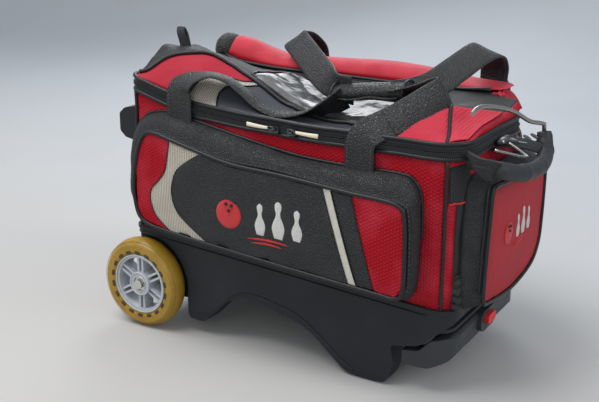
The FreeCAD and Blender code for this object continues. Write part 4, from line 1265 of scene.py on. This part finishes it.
def lid():
    front = lambda x: LID_EDGE
    ridge = edge_line(RIDGE)
    corner = [(-241, LID_EDGE), (-239, -117)]
    to_silver = smooth([(-160, LID_EDGE), (-156, -114), (-149, -100), (-136, -88), (-118, -80),
                        (-104, -75), (-94, -66)])
    to_vinyl = smooth([(-112, LID_EDGE), (-116, -118), (-121, -106), (-118, -95), (-107, -86), (-95, -78),
                       (-86, -66)])
    stripe_a, stripe_b = [(66, LID_EDGE), (88, -64)], [(77, LID_EDGE), (99, -64)]
    band = [(100, LID_EDGE), (122, -60)]
    seam = smooth([(196, LID_EDGE), (190, -104), (180, -80), (172, -58)])
    panels = (
        ("red_left", corner, to_silver, "rib", "red_fabric", 34),
        ("silver", to_silver, to_vinyl, "silver_xy", "pocket_face", 16),
        ("vinyl", to_vinyl, stripe_a, "vinyl_cloth", "black_leather", 60),
        ("stripe", stripe_a, stripe_b, "stripe", "pocket_face", 5),
        ("band", stripe_b, band, "vinyl_cloth", "black_leather", 8),
        ("red_right", band, seam, "honeycomb_xy", "red_fabric", 28),
    )
    first = None
    for part, left, right, finish, slot, across in panels:
        made = grid("lid_" + part, patch(left, right, front, ridge, lid_lift(), across, 24), finish,
                    "lid", slot, thick=1.4)
        first = first or made
    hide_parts("lid_panel")
    for key, line, up in (("a", to_silver, 0.9), ("b", to_vinyl, 0.9), ("seam", seam, 1.6)):
        radius = 2.4 if key == "seam" else 0.8
        rail = [lid_lift(up)(*p) for p in even(line, 40)]
        tube("lid_seam_" + key, rail, radius, "piping", "lid", sides=8)
    cord = [(x, y, lid_z(x, y) + 2.4) for x, y in even(smooth(RIDGE[:12], 6), 120)]
    made = tube("lid_ridge_piping", cord, 2.6, "piping", "lid")
    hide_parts("lid_piping")
    lid_right_end(seam)
    lid_left_end()
    lid_net()
    lid_walls()
    pouch()
    pull_tab()


def lid_right_end(seam):
    """Red cloth past the right seam, folded where the lid turns down to the zip."""
    rows = []
    for x0, y0 in even(seam, 30):
        t = (y0 - LID_EDGE) / (RIDGE_Y - LID_EDGE)
        end = np.array((213.0, LID_EDGE + 20 + 60 * t + 34 * t * t))
        row = []
        for s in np.linspace(0, 1, 22):
            x, y = (1 - s) * x0 + s * end[0], (1 - s) * y0 + s * end[1]
            x, y = keep_inside(x, y)
            crease = 4.5 * math.sin(math.pi * s) * math.sin(5.5 * t + 2.2 * s) * t
            row.append((x, y, lid_z(x, y) + 0.9 + crease))
        rows.append(row)
    grid("lid_red_end", rows, "honeycomb_xy", "lid", thick=1.4)


def keep_inside(x, y):
    """Pull a plan point inside the rounded right-hand front corner of the lid."""
    p = ZIP_PLAN
    r = p["r_right"] - 2
    cx, cy = p["right"] - 2 - r, -p["half"] + 2 + r
    if x > cx and y < cy:
        gone = math.hypot(x - cx, y - cy)
        if gone > r:
            x, y = cx + (x - cx) * r / gone, cy + (y - cy) * r / gone
    return min(x, p["right"] - 2), y


def lid_left_end():
    """Soft leather that caps the wheel end of the lid behind the ridge."""
    ridge = edge_line(RIDGE)
    rows = []
    for x in np.linspace(-242, -196, 22):
        start = ridge(x)
        rows.append([(x, y, lid_z(x, y) + 0.4 + folds((x, y, 3), 16, 1.5)) for y in
                     np.linspace(start, 56, 46)])
    grid("lid_left_cap", rows, "gusset", "lid", thick=1.4)


def lid_net():
    """Black net over the rear half of the lid, behind the ridge."""
    ridge = edge_line(RIDGE)
    rows = []
    for x in np.linspace(-196, 212, 112):
        start = max(ridge(min(x, 172)), -62 + 1.16 * max(0.0, x - 172))
        rows.append([(x, y, lid_z(x, y) + 0.3) for y in np.linspace(start, 56, 36)])
    made = grid("lid_net", rows, "mesh_xy", "lid", thick=1.2)
    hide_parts("top_pouch")


def lid_walls():
    """Short upright cloth between the zip and the lid, round both ends."""
    for tag, test in (("left", lambda x, y: x < -232), ("right", lambda x, y: x > 178)):
        path = [p for p in zip_path(-1.4, 17.0, 3.0) if test(p[0], p[1])]
        rows = []
        for x, y, z in path:
            inx, iny = keep_inside(min(max(x, -242), 212), max(y, LID_EDGE))
            top = lid_z(inx, iny)
            column = []
            for s in np.linspace(0, 1, 10):
                swell = 3.0 * math.sin(math.pi * s)
                out = -1 if tag == "left" else 1
                crease = folds((x, y, s * 20), 18, 1.2) * math.sin(math.pi * s)
                column.append((x * (1 - s) + inx * s + out * swell, y * (1 - s) + iny * s,
                               z * (1 - s) + top * s + crease))
            rows.append(column)
        grid(f"lid_wall_{tag}", rows, "gusset" if tag == "left" else "honeycomb_yz", "lid", thick=1.2)


def pouch():
    """Raised net pouch with a crinkled clear window."""
    x0, x1, y0, y1 = -104.0, 106.0, -58.0, 26.0
    rows = []
    for x in np.linspace(x0, x1, 84):
        row = []
        for y in np.linspace(y0, y1, 44):
            edge = min(1.0, (x - x0) / 16, (x1 - x) / 16, (y - y0) / 10, (y1 - y) / 14)
            puff = math.sin(max(0.0, edge) * math.pi / 2)
            crinkle = folds((x, y, 30), 30, 2.6, (1.6, 1, 1)) + folds((x, y, 60), 10, 0.4)
            row.append((x, y, lid_z(x, y) + 1.2 + puff * (5.5 + crinkle)))
        rows.append(row)
    made = grid("pouch_clear_window", rows, "clear", "lid", thick=0.8)
    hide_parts("pouch_window")
    edge = smooth([(x0, y0 + 10), (x0 + 8, y0), (x0 + 60, y0 - 1), (x1 - 60, y0 - 1), (x1 - 8, y0),
                   (x1, y0 + 10), (x1, y1 - 10), (x1 - 8, y1), (x0 + 8, y1),
                   (x0, y1 - 10)], 10, closed=True)
    cord = [(x, y, lid_z(x, y) + 2.2) for x, y in edge]
    tube("pouch_hem", cord, 2.0, "piping", "lid", closed=True)


def pull_tab():
    """Folded webbing tab that stands at the wheel end of the lid."""
    low, high = low_high("lid_pull_tab")
    cx, cy = (low[0] + high[0]) / 2, (low[1] + high[1]) / 2
    line = [((cx + 2, cy, low[2] - 4), (1, 0.3, 0)), ((cx, cy - 2, low[2] + 8), (1, 0.3, 0)),
            ((cx - 3, cy - 3, high[2] - 6), (1, 0.2, 0)), ((cx - 5, cy + 1, high[2] - 0.5), (1, 0.1, 0)),
            ((cx - 4, cy + 6, high[2] - 8), (1, 0.1, 0)), ((cx, cy + 5, low[2] + 6), (1, 0.2, 0)),
            ((cx + 2, cy + 5, low[2] - 4), (1, 0.3, 0))]
    made, _ = strap("lid_tab", line, "webbing", "lid", width=11.0, per=8)
    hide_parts("lid_pull_tab")


# ---------------------------------------------------------------- rear top pocket


def rear_flap():
    """Puffed red flap over the rear pocket, a cloth cushion with corded edges."""
    stations = np.array([s[0] for s in FLAP_LINE], float)
    xs = np.linspace(-243, 189, 60)
    front = ease(stations, np.array([s[1] for s in FLAP_LINE], float), xs)
    crest = ease(stations, np.array([s[2] for s in FLAP_LINE], float), xs)
    loops = []
    for x, f, c in zip(xs, front, crest):
        end = min(1.0, max(0.3, math.sqrt(max(0.0, min(x + 245, 196 - x) / 18))))
        half = 31 * end
        mid = 94.0
        c = f + (c - f) * (0.4 + 0.6 * end)
        section = [(mid - half, f), (mid - half * 0.8, f + (c - f) * 0.55), (mid - half * 0.35, c - 1.5),
                   (mid + half * 0.2, c - 1), (mid + half * 0.7, f + (c - f) * 0.55), (mid + half, f - 1),
                   (mid + half * 0.7, f - 4), (mid, f - 4.5), (mid - half * 0.7, f - 4)]
        loops.append([(x, y, z) for y, z in smooth(section, 3, closed=True)])
    loops = np.array(loops)
    verts = loops.reshape(-1, 3)
    faces = grid_faces(len(loops), loops.shape[1], wrap_cols=True, caps=True)
    seam = [loop[0] for loop in loops] + [loop[15] for loop in loops[::-1]]
    held = near_curve(seam, 6)
    pad, tree = cushion("rear_flap_cloth", verts, faces, 5.0, held, 6.0, "nylon_top", "rear_flap")
    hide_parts("rear_flap")
    front_edge = [loop[0] + (0, -1.0, -1.0) for loop in loops]
    tube("rear_flap_front_piping", front_edge[1:-2], 2.4, "piping", "rear_flap")
    back_edge = [loop[15] + (0, -1.5, 0.0) for loop in loops]
    tube("rear_flap_back_piping", back_edge[1:-2], 2.2, "piping", "rear_flap")
    rear_pocket(xs, front)
    hinge_tape()
    end_cap()


def hinge_tape():
    """Woven tape sewn along the lid's hinge."""
    low, high = low_high("lid_hinge_tape")
    mid, half = (low[1] + high[1]) / 2, (high[1] - low[1]) / 2 - 0.4
    rows = [[(x, mid + half * s, high[2] - 0.7 + 0.5 * (1 - s * s) + folds((x, 0, 4), 30, 0.3))
             for s in np.linspace(-1, 1, 7)] for x in np.linspace(low[0] + 1, high[0] - 1, 90)]
    made = grid("lid_hinge_cloth", rows, "webbing", "bag", "piping_black", thick=-0.8)
    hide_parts("lid_hinge_tape")


def end_cap():
    """Soft net hump that closes the wheel end of the rear pocket."""
    loops = []
    for t in np.linspace(0.08, math.pi - 0.08, 18):
        x = -237 - 16.5 * math.cos(t)
        size = math.sin(t) ** 0.6
        loops.append([(x, 86 + 26 * size * math.cos(a),
                       350 + (23 if math.sin(a) > 0 else 15) * size * math.sin(a)
                       + folds((x, 30 * a, 5), 14, 1.0)) for a in np.linspace(0, 2 * math.pi, 25)[:-1]])
    piece("rear_end_cap", np.array(loops).reshape(-1, 3), grid_faces(18, 24, wrap_cols=True, caps=True),
          "mesh_yz", "rear_flap")


def rear_pocket(xs, front):
    """Net wall of the rear pocket below its flap, with a red end panel."""
    plan = [(x, 61.8) for x in np.linspace(-238, 176, 90)]
    rows = []
    for x, y in plan:
        top = float(np.interp(x, xs, front)) - 4.0
        rows.append([(x, y + (folds((x, s * 20, 0), 26, 1.0) - 2.4) * math.sin(math.pi * s),
                      300 + (top - 300) * s) for s in np.linspace(0, 1, 10)])
    made = grid("rear_pocket_net", rows, "mesh_xz", "bag", thick=1.2)
    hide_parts("rear_pocket_shell")
    for tag, x, finish in (("right", 193.0, "honeycomb_yz"), ("left", -238.5, "gusset")):
        out = 1 if tag == "right" else -1
        sheet = []
        for y in np.linspace(61.8, 121, 26):
            top = 330.5 + (3.5 if tag == "right" else 3.0) * math.sin(math.pi * (y - 61.8) / 60)
            sheet.append([slump(x + out * 3.0 * math.sin(math.pi * s) * math.sin(math.pi * (y - 55) / 72), y,
                                300 + (top - 300) * s) for s in np.linspace(0, 1, 10)])
        grid(f"rear_pocket_{tag}", sheet, finish, "bag", thick=1.4)
    slope = []
    for y in np.linspace(54, 122.5, 34):
        fall = 7 * ramp(y, 104, 122.5)
        slope.append([slump(186 + 23 * s, y, 333 - 30 * s + 5 * math.sin(math.pi * s) - fall * (1 - s)
                            + folds((s * 20, y, 8), 16, 0.9)) for s in np.linspace(0, 1, 16)])
    grid("rear_pocket_slope", slope, "honeycomb_xy", "bag", thick=1.4)
    floor = [[(x, y, 299.0 + folds((x, y, 0), 30, 0.6)) for y in np.linspace(62, 120, 12)]
             for x in np.linspace(-238, 193, 60)]
    grid("rear_pocket_floor", floor, "lining", "bag", "black_mesh", thick=1.0)
    red = [[(176 + 17 * t, 61.8 + 1.0 * t - 2.0 * math.sin(math.pi * s), 300 + 33 * s)
            for s in np.linspace(0, 1, 8)] for t in np.linspace(0, 1, 6)]
    grid("rear_pocket_corner", red, "honeycomb_xz", "bag", thick=1.2)
    tube("rear_pocket_seam", [(176, 59.6 - 1.6 * math.sin(math.pi * s), 301 + 31 * s) for s in
                              np.linspace(0, 1, 12)], 1.8, "piping", "bag")


# ---------------------------------------------------------------- carry handles

LEFT_STRAP = [((-163, -134.4, 282), (1, 0, 0)), ((-162.5, -134.8, 304), (1, 0, 0)),
              ((-162, -135, 324), (1, 0, 0)), ((-160, -133, 338), (0.98, -0.15, 0)),
              ((-148, -125, 349), (0.88, -0.45, 0)), ((-128, -114, 354.5), (0.72, -0.68, 0.05)),
              ((-106, -104, 349), (0.58, -0.8, 0.1)), ((-84, -98, 335), (0.5, -0.85, 0.15)),
              ((-64, -95, 320), (0.42, -0.88, 0.2)), ((-40, -89, 311), (0.25, -0.93, 0.25)),
              ((-14, -77, 311), (0.1, -0.92, 0.35)), ((8, -60, 318), (0, -0.8, 0.6)),
              ((26, -46, 330), (0, -0.6, 0.8))]
LEFT_ARCH = (0, 0, 0, 0.3, 1, 3, 6, 8, 8, 7, 5, 3, 2)
RIGHT_STRAP = [((94, -133.6, 260), (1, 0, 0)), ((94, -134.8, 282), (1, 0, 0)),
               ((95, -135, 298), (1, 0, -0.05)), ((103, -131.5, 312), (0.93, -0.05, -0.35)),
               ((121, -117, 322.5), (0.8, -0.1, -0.6)), ((140, -95, 334), (0.7, -0.05, -0.72)),
               ((154, -76, 344.5), (0.6, 0, -0.8)), ((164, -62, 351.5), (0.46, 0.15, -0.87)),
               ((158, -52, 353), (0.4, 0.4, -0.82)), ((136, -46, 350), (0.15, 0.85, -0.5)),
               ((110, -43, 345), (0, 0.95, -0.3)), ((92, -42, 342), (0, 0.97, -0.2))]
RIGHT_ARCH = (0, 0, 0, 0.5, 1.5, 2.5, 3, 2, 0, 0, 0, 0)
BACK_LEFT = [((-115, 131.5, 328), (1, 0, 0)), ((-115, 131.5, 341), (1, 0, 0)),
             ((-116, 126, 358), (0.98, 0, 0.15)), ((-121, 104, 372), (0.88, 0, 0.42)),
             ((-122, 80, 374), (0.83, 0, 0.55)), ((-104, 62, 369), (0.8, 0.1, 0.56)),
             ((-70, 32, 358), (0.76, 0.12, 0.6)), ((-30, -4, 346), (0.7, 0.1, 0.66)),
             ((6, -34, 339), (0.45, -0.3, 0.8)), ((34, -42, 337), (0, -0.2, 1))]
BACK_RIGHT = [((90, -42, 337), (0, -0.2, 1)), ((112, -34, 341), (-0.3, 0.2, 0.85)),
              ((130, -14, 350), (-0.75, 0.1, 0.6)), ((142, 24, 364), (-0.86, 0, 0.5)),
              ((152, 62, 377), (-0.88, 0, 0.46)), ((156, 84, 380), (-0.9, 0, 0.42)),
              ((158, 104, 374), (-0.97, 0, 0.25)), ((155, 124, 357), (-1, 0, 0.05)),
              ((152, 131.5, 341), (-1, 0, 0)), ((152, 131.5, 328), (-1, 0, 0))]


LEG_SECTIONS = 4
FRONT_FOLD = 7.0
BACK_FOLD = (0, -3.6, 4.8)


def strap_edges(name, r, body):
    """Thread along both edges of a strap's outer face."""
    face = unit(r[:, 5] - r[:, 13])
    return [stitches(f"{name}_thread_{key}", r[:, k] + face * 0.25, face, "thread", body)
            for key, k in (("near", 3), ("far", 7))]


def blended_strap(name, sections, bodies, start, end, **more):
    made, r = strap(name, sections, "strap", None, **more)
    threads = strap_edges(name, r, None)
    for obj in [made] + threads:
        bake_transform(obj)
    return made


def carry_handles():
    """The front handle folds at the tops of its legs; of the rear one only the middle rides on its own body,
    its sides stay fixed.
    """
    joints = {j["name"]: j for j in frame["joints"]}
    front = joints["front_handle_swing"]
    pivot, axis = Vector(front["pos_m"]), Vector(front["axis"])
    up = Vector((-axis.z, 0, axis.x)).normalized() * FRONT_FOLD * MM
    for name, line, arch in (("front_strap_left", LEFT_STRAP, LEFT_ARCH),
                             ("front_strap_right", RIGHT_STRAP, RIGHT_ARCH)):
        blended_strap(name + "_leg", line, ("bag", "front_handle"), pivot - up, pivot + up,
                                  arch=arch, part=(0, LEG_SECTIONS))
        _, r = strap(name, line, "strap", "front_handle", arch=arch,
                     part=(LEG_SECTIONS, len(line) - 1))
        strap_edges(name, r, "front_handle")
    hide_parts("front_strap_anchors")
    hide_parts("front_handle_strap")
    pivot = Vector(joints["back_handle_swing"]["pos_m"])
    rise = Vector(BACK_FOLD) * MM
    bodies = ("rear_flap", "back_handle")
    made = blended_strap("back_strap_left", BACK_LEFT, bodies, pivot - rise, pivot + rise)
    blended_strap("back_strap_right", BACK_RIGHT, bodies, pivot - rise, pivot + rise)
    middle = [((x, -42, 337), (0, -0.2, 1)) for x in (34, 62, 90)]
    strap("back_strap_middle", middle, "strap", "back_handle", width=16)
    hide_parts("back_handle_strap")
    anchor = None
    for tag, x, low in (("left", -115, 292), ("right", 152, 272)):
        line = [((x, 129.5, low), (1, 0, 0)), ((x, 131, low + 20), (1, 0, 0)), ((x, 131.5, 327), (1, 0, 0))]
        anchor, r = strap("back_anchor_" + tag, line, "strap", "bag")
        strap_edges("back_anchor_" + tag, r, "bag")
    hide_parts("back_strap_anchors")
    wrap_sleeve()


def wrap_sleeve():
    """Padded leather sleeve closed round both handles, with a sewn edge and end bindings."""
    low, high = low_high("handle_wrap")
    x0, x1 = low[0], high[0]
    cy, cz = (low[1] + high[1]) / 2, (low[2] + high[2]) / 2
    tilt = lambda x: 0.13 * (x - x0)
    loops = []
    for x in np.linspace(x0 - 8, x1 + 6, 34):
        t = (x - x0) / (x1 - x0)
        dip = 3.0 * math.sin(math.pi * t) - 2.0
        loops.append([(x, cy + 16.5 * math.cos(a) * (1 + 0.06 * math.cos(2 * a)),
                       cz + tilt(x) + dip * 0.3 + 11.0 * math.sin(a))
                      for a in np.linspace(0, 2 * math.pi, 25)[:-1]])
    loops = np.array(loops)
    verts, faces = loops.reshape(-1, 3), grid_faces(34, 24, wrap_cols=True, caps=True)
    ends = place([p for loop in (loops[0], loops[-1]) for p in loop])

    def held(p):
        return np.min(np.sum((ends - p) ** 2, axis=1)) < 0.005 ** 2

    made, _ = cushion("handle_sleeve", verts, faces, 4.0, held, 3.5, "strap", "front_handle", pressure=3.0)
    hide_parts("handle_wrap")
    for key, x in (("left", x0 - 7), ("right", x1 + 5)):
        a = np.linspace(0, 2 * math.pi, 41)[:-1]
        line = [(x, cy + 17.4 * math.cos(t), cz + tilt(x) + 11.9 * math.sin(t)) for t in a]
        tube("sleeve_binding_" + key, line, 1.6, "piping", "front_handle", closed=True)
    flap_line = [(x, cy - 16.2, cz + tilt(x) - 6 + 1.2 * math.sin(x * 0.12))
                 for x in np.linspace(x0 + 2, x1 - 2, 40)]
    tube("sleeve_lip", flap_line, 1.5, "strap", "front_handle")
    rail = [(x, cy - 10.6, cz + tilt(x) + 11.0) for x in np.linspace(x0 + 3, x1 - 3, 30)]
    stitches("sleeve_stitches", rail, (0, -0.5, 0.86), "thread", "front_handle")


# ---------------------------------------------------------------- end handle


def end_handle():
    """Rubber grip bow, its webbing loop and the folded hooks beside it."""
    bow = [(248, -108, 284), (255, -92, 279), (262, -66, 272), (265, -30, 267.5), (263, 8, 266.5),
           (256, 40, 271), (250, 54, 281), (247, 58, 292)]
    line = even(smooth(bow, 10), 90)
    scale = []
    for k in range(90):
        t = k / 89
        band = 1.0 + 0.09 * max(0.0, math.cos(t * math.pi * 7)) ** 8
        scale.append(band * (0.9 if t < 0.03 or t > 0.98 else 1.0))
    made = tube("end_grip", line, 9.8, "rubber", "end_handle", scale=scale, sides=20)
    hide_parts("end_handle_grip")
    web = [((212, -98, 290), (0.1, 0.5, -0.85)), ((223, -110, 291), (0.2, 0.45, -0.85)),
           ((236, -114, 288), (0.1, 0.5, -0.85)), ((249, -106, 283.5), (0, 0.5, -0.85))]
    strap("end_web_near", web, "webbing", "end_handle", width=22, per=8)
    knot = [((214, -96, 286), (0, 0.6, -0.8)), ((226, -106, 280), (0.2, 0.6, -0.8)),
            ((238, -112, 280), (0.3, 0.5, -0.8)), ((250, -104, 281), (0.3, 0.5, -0.8))]
    strap("end_web_under", knot, "webbing", "end_handle", width=20, per=8)
    anchor = [((210, -100, 286), (0, 0.6, -0.8)), ((216, -102, 287), (0.2, 0.6, -0.8)),
              ((222, -106, 288), (0.3, 0.5, -0.8))]
    made, _ = strap("end_web_anchor", anchor, "webbing", "bag", width=26, per=6)
    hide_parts("end_handle_tabs")
    far = [((211, 60, 268), (0, 1, 0)), ((226, 60, 270), (0, 1, 0)), ((240, 59, 280), (0, 1, 0)),
           ((247, 58, 293), (0, 1, 0))]
    strap("end_web_far", far, "webbing", "end_handle", width=12, per=6)
    hooks()


def hooks():
    """Bright folded wire hook and dark buckle between the grip and the bag."""
    for k, line in enumerate((
            [(234, -76, 297), (241, -52, 289), (248, -28, 281), (252, -12, 277)],
            [(234, -32, 296), (241, -24, 289), (248, -16, 281), (252, -12, 277)],
            [(228, -36, 297), (234, -18, 295), (240, 4, 289), (246, 22, 284)])):
        tube(f"end_hook_{k}", even(smooth(line, 6), 20), 1.5, "steel", "end_handle", sides=8)
    body = [(220, -34, 294), (230, -28, 298), (240, -20, 296)]
    tube("end_buckle", even(smooth(body, 6), 14), 6.0, "gunmetal", "end_handle", "wire_steel",
         scale=[0.5 + 0.5 * math.sin(math.pi * (k + 1) / 15) for k in range(14)], sides=10)
    for k, (x, y, z) in enumerate(((232, 8, 293), (238, 22, 291), (243, 34, 291))):
        ring_link(f"end_link_{k}", (x, y, z), 6.0, 1.5, (0.5, 0.3, 1), "end_handle")
    loop = [((214, -30, 284), (0.2, 0.9, 0.2)), ((224, -22, 290), (0.2, 0.9, 0.2)),
            ((236, -4, 290), (0, 0.9, 0.3)), ((246, 18, 283), (0, 0.8, 0.4)),
            ((252, 34, 276), (0, 0.7, 0.5))]
    strap("end_web_inner", loop, "webbing", "end_handle", width=14, per=8)


# ---------------------------------------------------------------- wheels and base


def wheel_trims():
    """Dark plates of painted shade for the window openings round the rim, hub cap ring and bolt head of each
    wheel.
    """
    low, high = low_high("axle")
    cx, cz = (low[0] + high[0]) / 2, (low[2] + high[2]) / 2
    for body, side in (("front_wheel", -1), ("back_wheel", 1)):
        lo, hi = low_high(body + "_hub")
        outer = lo[1] if side < 0 else hi[1]
        tyre_lo, tyre_hi = low_high(body + "_tyre")
        face = tyre_lo[1] if side < 0 else tyre_hi[1]
        count, radius = 18, 45.4
        mids, along, across = [], [], []
        for k in range(count):
            a = 2 * math.pi * (k + 0.5) / count
            mids.append((cx + radius * math.cos(a), face - side * 0.2, cz + radius * math.sin(a)))
            along.append((-math.sin(a), 0, math.cos(a)))
            across.append((math.cos(a), 0, math.sin(a)))
        # Painted shade: dark plates where the window openings lie in shadow.
        boxes(body + "_windows", mids, along, across, (8.6, 4.2, 1.2), "window_shade", body)
        for key, r, wire, finish in (("rim_bead", 40.6, 1.1, "hub"), ("core_bead", 15.6, 1.2, "hub"),
                                     ("bearing_lip", 10.2, 0.8, "steel")):
            a = np.linspace(0, 2 * math.pi, 65)[:-1]
            line = [(cx + r * math.cos(t), outer + side * 0.2, cz + r * math.sin(t)) for t in a]
            tube(f"{body}_{key}", line, wire, finish, body, "hub_plastic", closed=True, sides=8)
        for r in (55.5, 59.5):
            a = np.linspace(0, 2 * math.pi, 97)[:-1]
            drop = 1.2 if r < 57 else 4.4
            line = [(cx + r * math.cos(t), face - side * drop * 0.75, cz + r * math.sin(t)) for t in a]
            tube(f"{body}_mould_line_{int(r)}", line, 0.35, "urethane", body, closed=True,
                 sides=6)


def base_trims():
    """Moulded ribs that follow the side of the base above the wheel, arch and foot."""
    for side in (-1, 1):
        tag = "front" if side < 0 else "back"
        y = side * 128.0
        arch = smooth([(-146, 30), (-128, 33), (-108, 51), (-92, 66), (-66, 76), (-23, 71), (12, 61),
                       (42, 41), (68, 20), (88, 9)], 8)
        tube(f"base_arch_rib_{tag}", [(x, y, z) for x, z in arch], 1.6, "base", "bag",
             sides=8)
        line = [(x, side * 128.6, rim_top(x) - 9.5) for x in np.linspace(-238, 182, 70)]
        tube(f"base_rim_rib_{tag}", line, 1.1, "base", "bag", sides=8)
    soften = frame["nodes"]["base_tray"].modifiers.new("soft_edges", "BEVEL")
    soften.width = 0.0016
    soften.segments = 2
    soften.limit_method = "ANGLE"
    soften.angle_limit = math.radians(35)


# ---------------------------------------------------------------- stage


# name, place, target, disc size in metres, watts, colour, spread in degrees
LIGHTS = (
    ("overhead", (-0.7, -0.7, 2.3), (0, 0, 0.2), 1.8, 46, (1.0, 0.985, 0.96), 180),
    ("front_fill", (0.9, -2.6, 1.3), (0, 0, 0.2), 1.6, 12, (1.0, 0.98, 0.96), 180),
    ("end_fill", (2.4, 0.2, 1.5), (0.2, 0, 0.2), 1.4, 5, (0.95, 0.97, 1.0), 90),
    ("back_sky", (-0.9, 1.7, 1.35), (0, 0, 0.3), 1.3, 16, (0.96, 0.98, 1.0), 180),
)
CAMERA_PLACE, CAMERA_TURN, CAMERA_LENS = (0.6103, -1.1135, 0.5795), (72.4, -0.12, 31.1), 60.06
SKY_COLOUR, SKY_STRENGTH = (0.90, 0.95, 1.0, 1), 0.62
SWEEP_START, SWEEP_RADIUS, FLOOR_FRONT, FLOOR_SIDE = 1.5, 2.0, -3.0, 5


def stage():
    """Pale floor and backdrop, soft overhead and side light, and the camera."""
    f = Finish("floor_paper", (0.46, 0.485, 0.52), 0.8)
    place_y = f.node("ShaderNodeSeparateXYZ")
    f.join(f.place, place_y.inputs[0])
    f.tint(f.span(place_y.outputs["Y"], 1.2, -0.6), (0.455, 0.44, 0.42))
    f.tint(f.span(f.noise(220, 3), 0.4, 0.8, 0, 0.2), (0.40, 0.40, 0.40))
    curve = SWEEP_START + SWEEP_RADIUS * np.sin(np.linspace(0.1, 1.5, 12))
    profile = []
    for y in np.concatenate([np.linspace(FLOOR_FRONT, SWEEP_START, 10), curve]):
        t = max(0.0, (y - SWEEP_START) / SWEEP_RADIUS)
        profile.append((y, SWEEP_RADIUS * (1 - math.sqrt(max(0.0, 1 - t * t)))))
    profile += [(SWEEP_START + SWEEP_RADIUS, z) for z in np.linspace(2.4, 5.0, 5)]
    rows = np.array([[(x, y, z) for x in np.linspace(-FLOOR_SIDE, FLOOR_SIDE, 8)] for y, z in profile])
    floor = piece("studio_floor", rows.reshape(-1, 3), grid_faces(len(rows), 8), f.done(), metres=True)
    world = bpy.data.worlds.new("studio")
    bpy.context.scene.world = world
    world.use_nodes = True
    sky = world.node_tree.nodes["Background"]
    sky.inputs["Color"].default_value = SKY_COLOUR
    sky.inputs["Strength"].default_value = SKY_STRENGTH
    for light in LIGHTS:
        area_light(*light)
    camera()
    bpy.context.scene.view_settings.view_transform = "Standard"


def area_light(name, where, target, size, power, colour, spread):
    lamp = bpy.data.lights.new(name, "AREA")
    lamp.shape = "DISK"
    lamp.size = size
    lamp.energy = power
    lamp.color = colour
    lamp.spread = math.radians(spread)
    obj = bpy.data.objects.new(name, lamp)
    obj.location = where
    obj.rotation_euler = (Vector(target) - Vector(where)).to_track_quat("-Z", "Y").to_euler()
    bpy.context.scene.collection.objects.link(obj)


def camera():
    data = bpy.data.cameras.new("camera")
    data.lens = CAMERA_LENS
    data.sensor_width = 36.0
    obj = bpy.data.objects.new("camera", data)
    obj.location = CAMERA_PLACE
    obj.rotation_euler = [math.radians(turn) for turn in CAMERA_TURN]
    bpy.context.scene.collection.objects.link(obj)
    bpy.context.scene.camera = obj


# ---------------------------------------------------------------- assembly

dress_frame()
front_lift = side_pocket("front_pocket", -1, "front_pocket", ("front_pocket_panel", "front_pocket_rain_flap"))
emblem("front_emblem", front_lift, (-27, 197), 1.0, "front_pocket", "xz")
side_pocket("back_pocket", 1, "back_pocket", ("back_pocket_panel",))
for pocket_side, pocket_name in ((-1, "front"), (1, "back")):
    gusset = pocket_gusset(pocket_name + "_pocket_wall", pocket_side, "bag")
    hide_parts(pocket_name + "_pocket_gusset")
    pocket_trims(pocket_name + "_pocket", pocket_side, "bag")
end_pocket()
bag_walls()
zip_fastener()
zip_pulls()
lid()
rear_flap()
carry_handles()
end_handle()
wheel_trims()
base_trims()
stage()
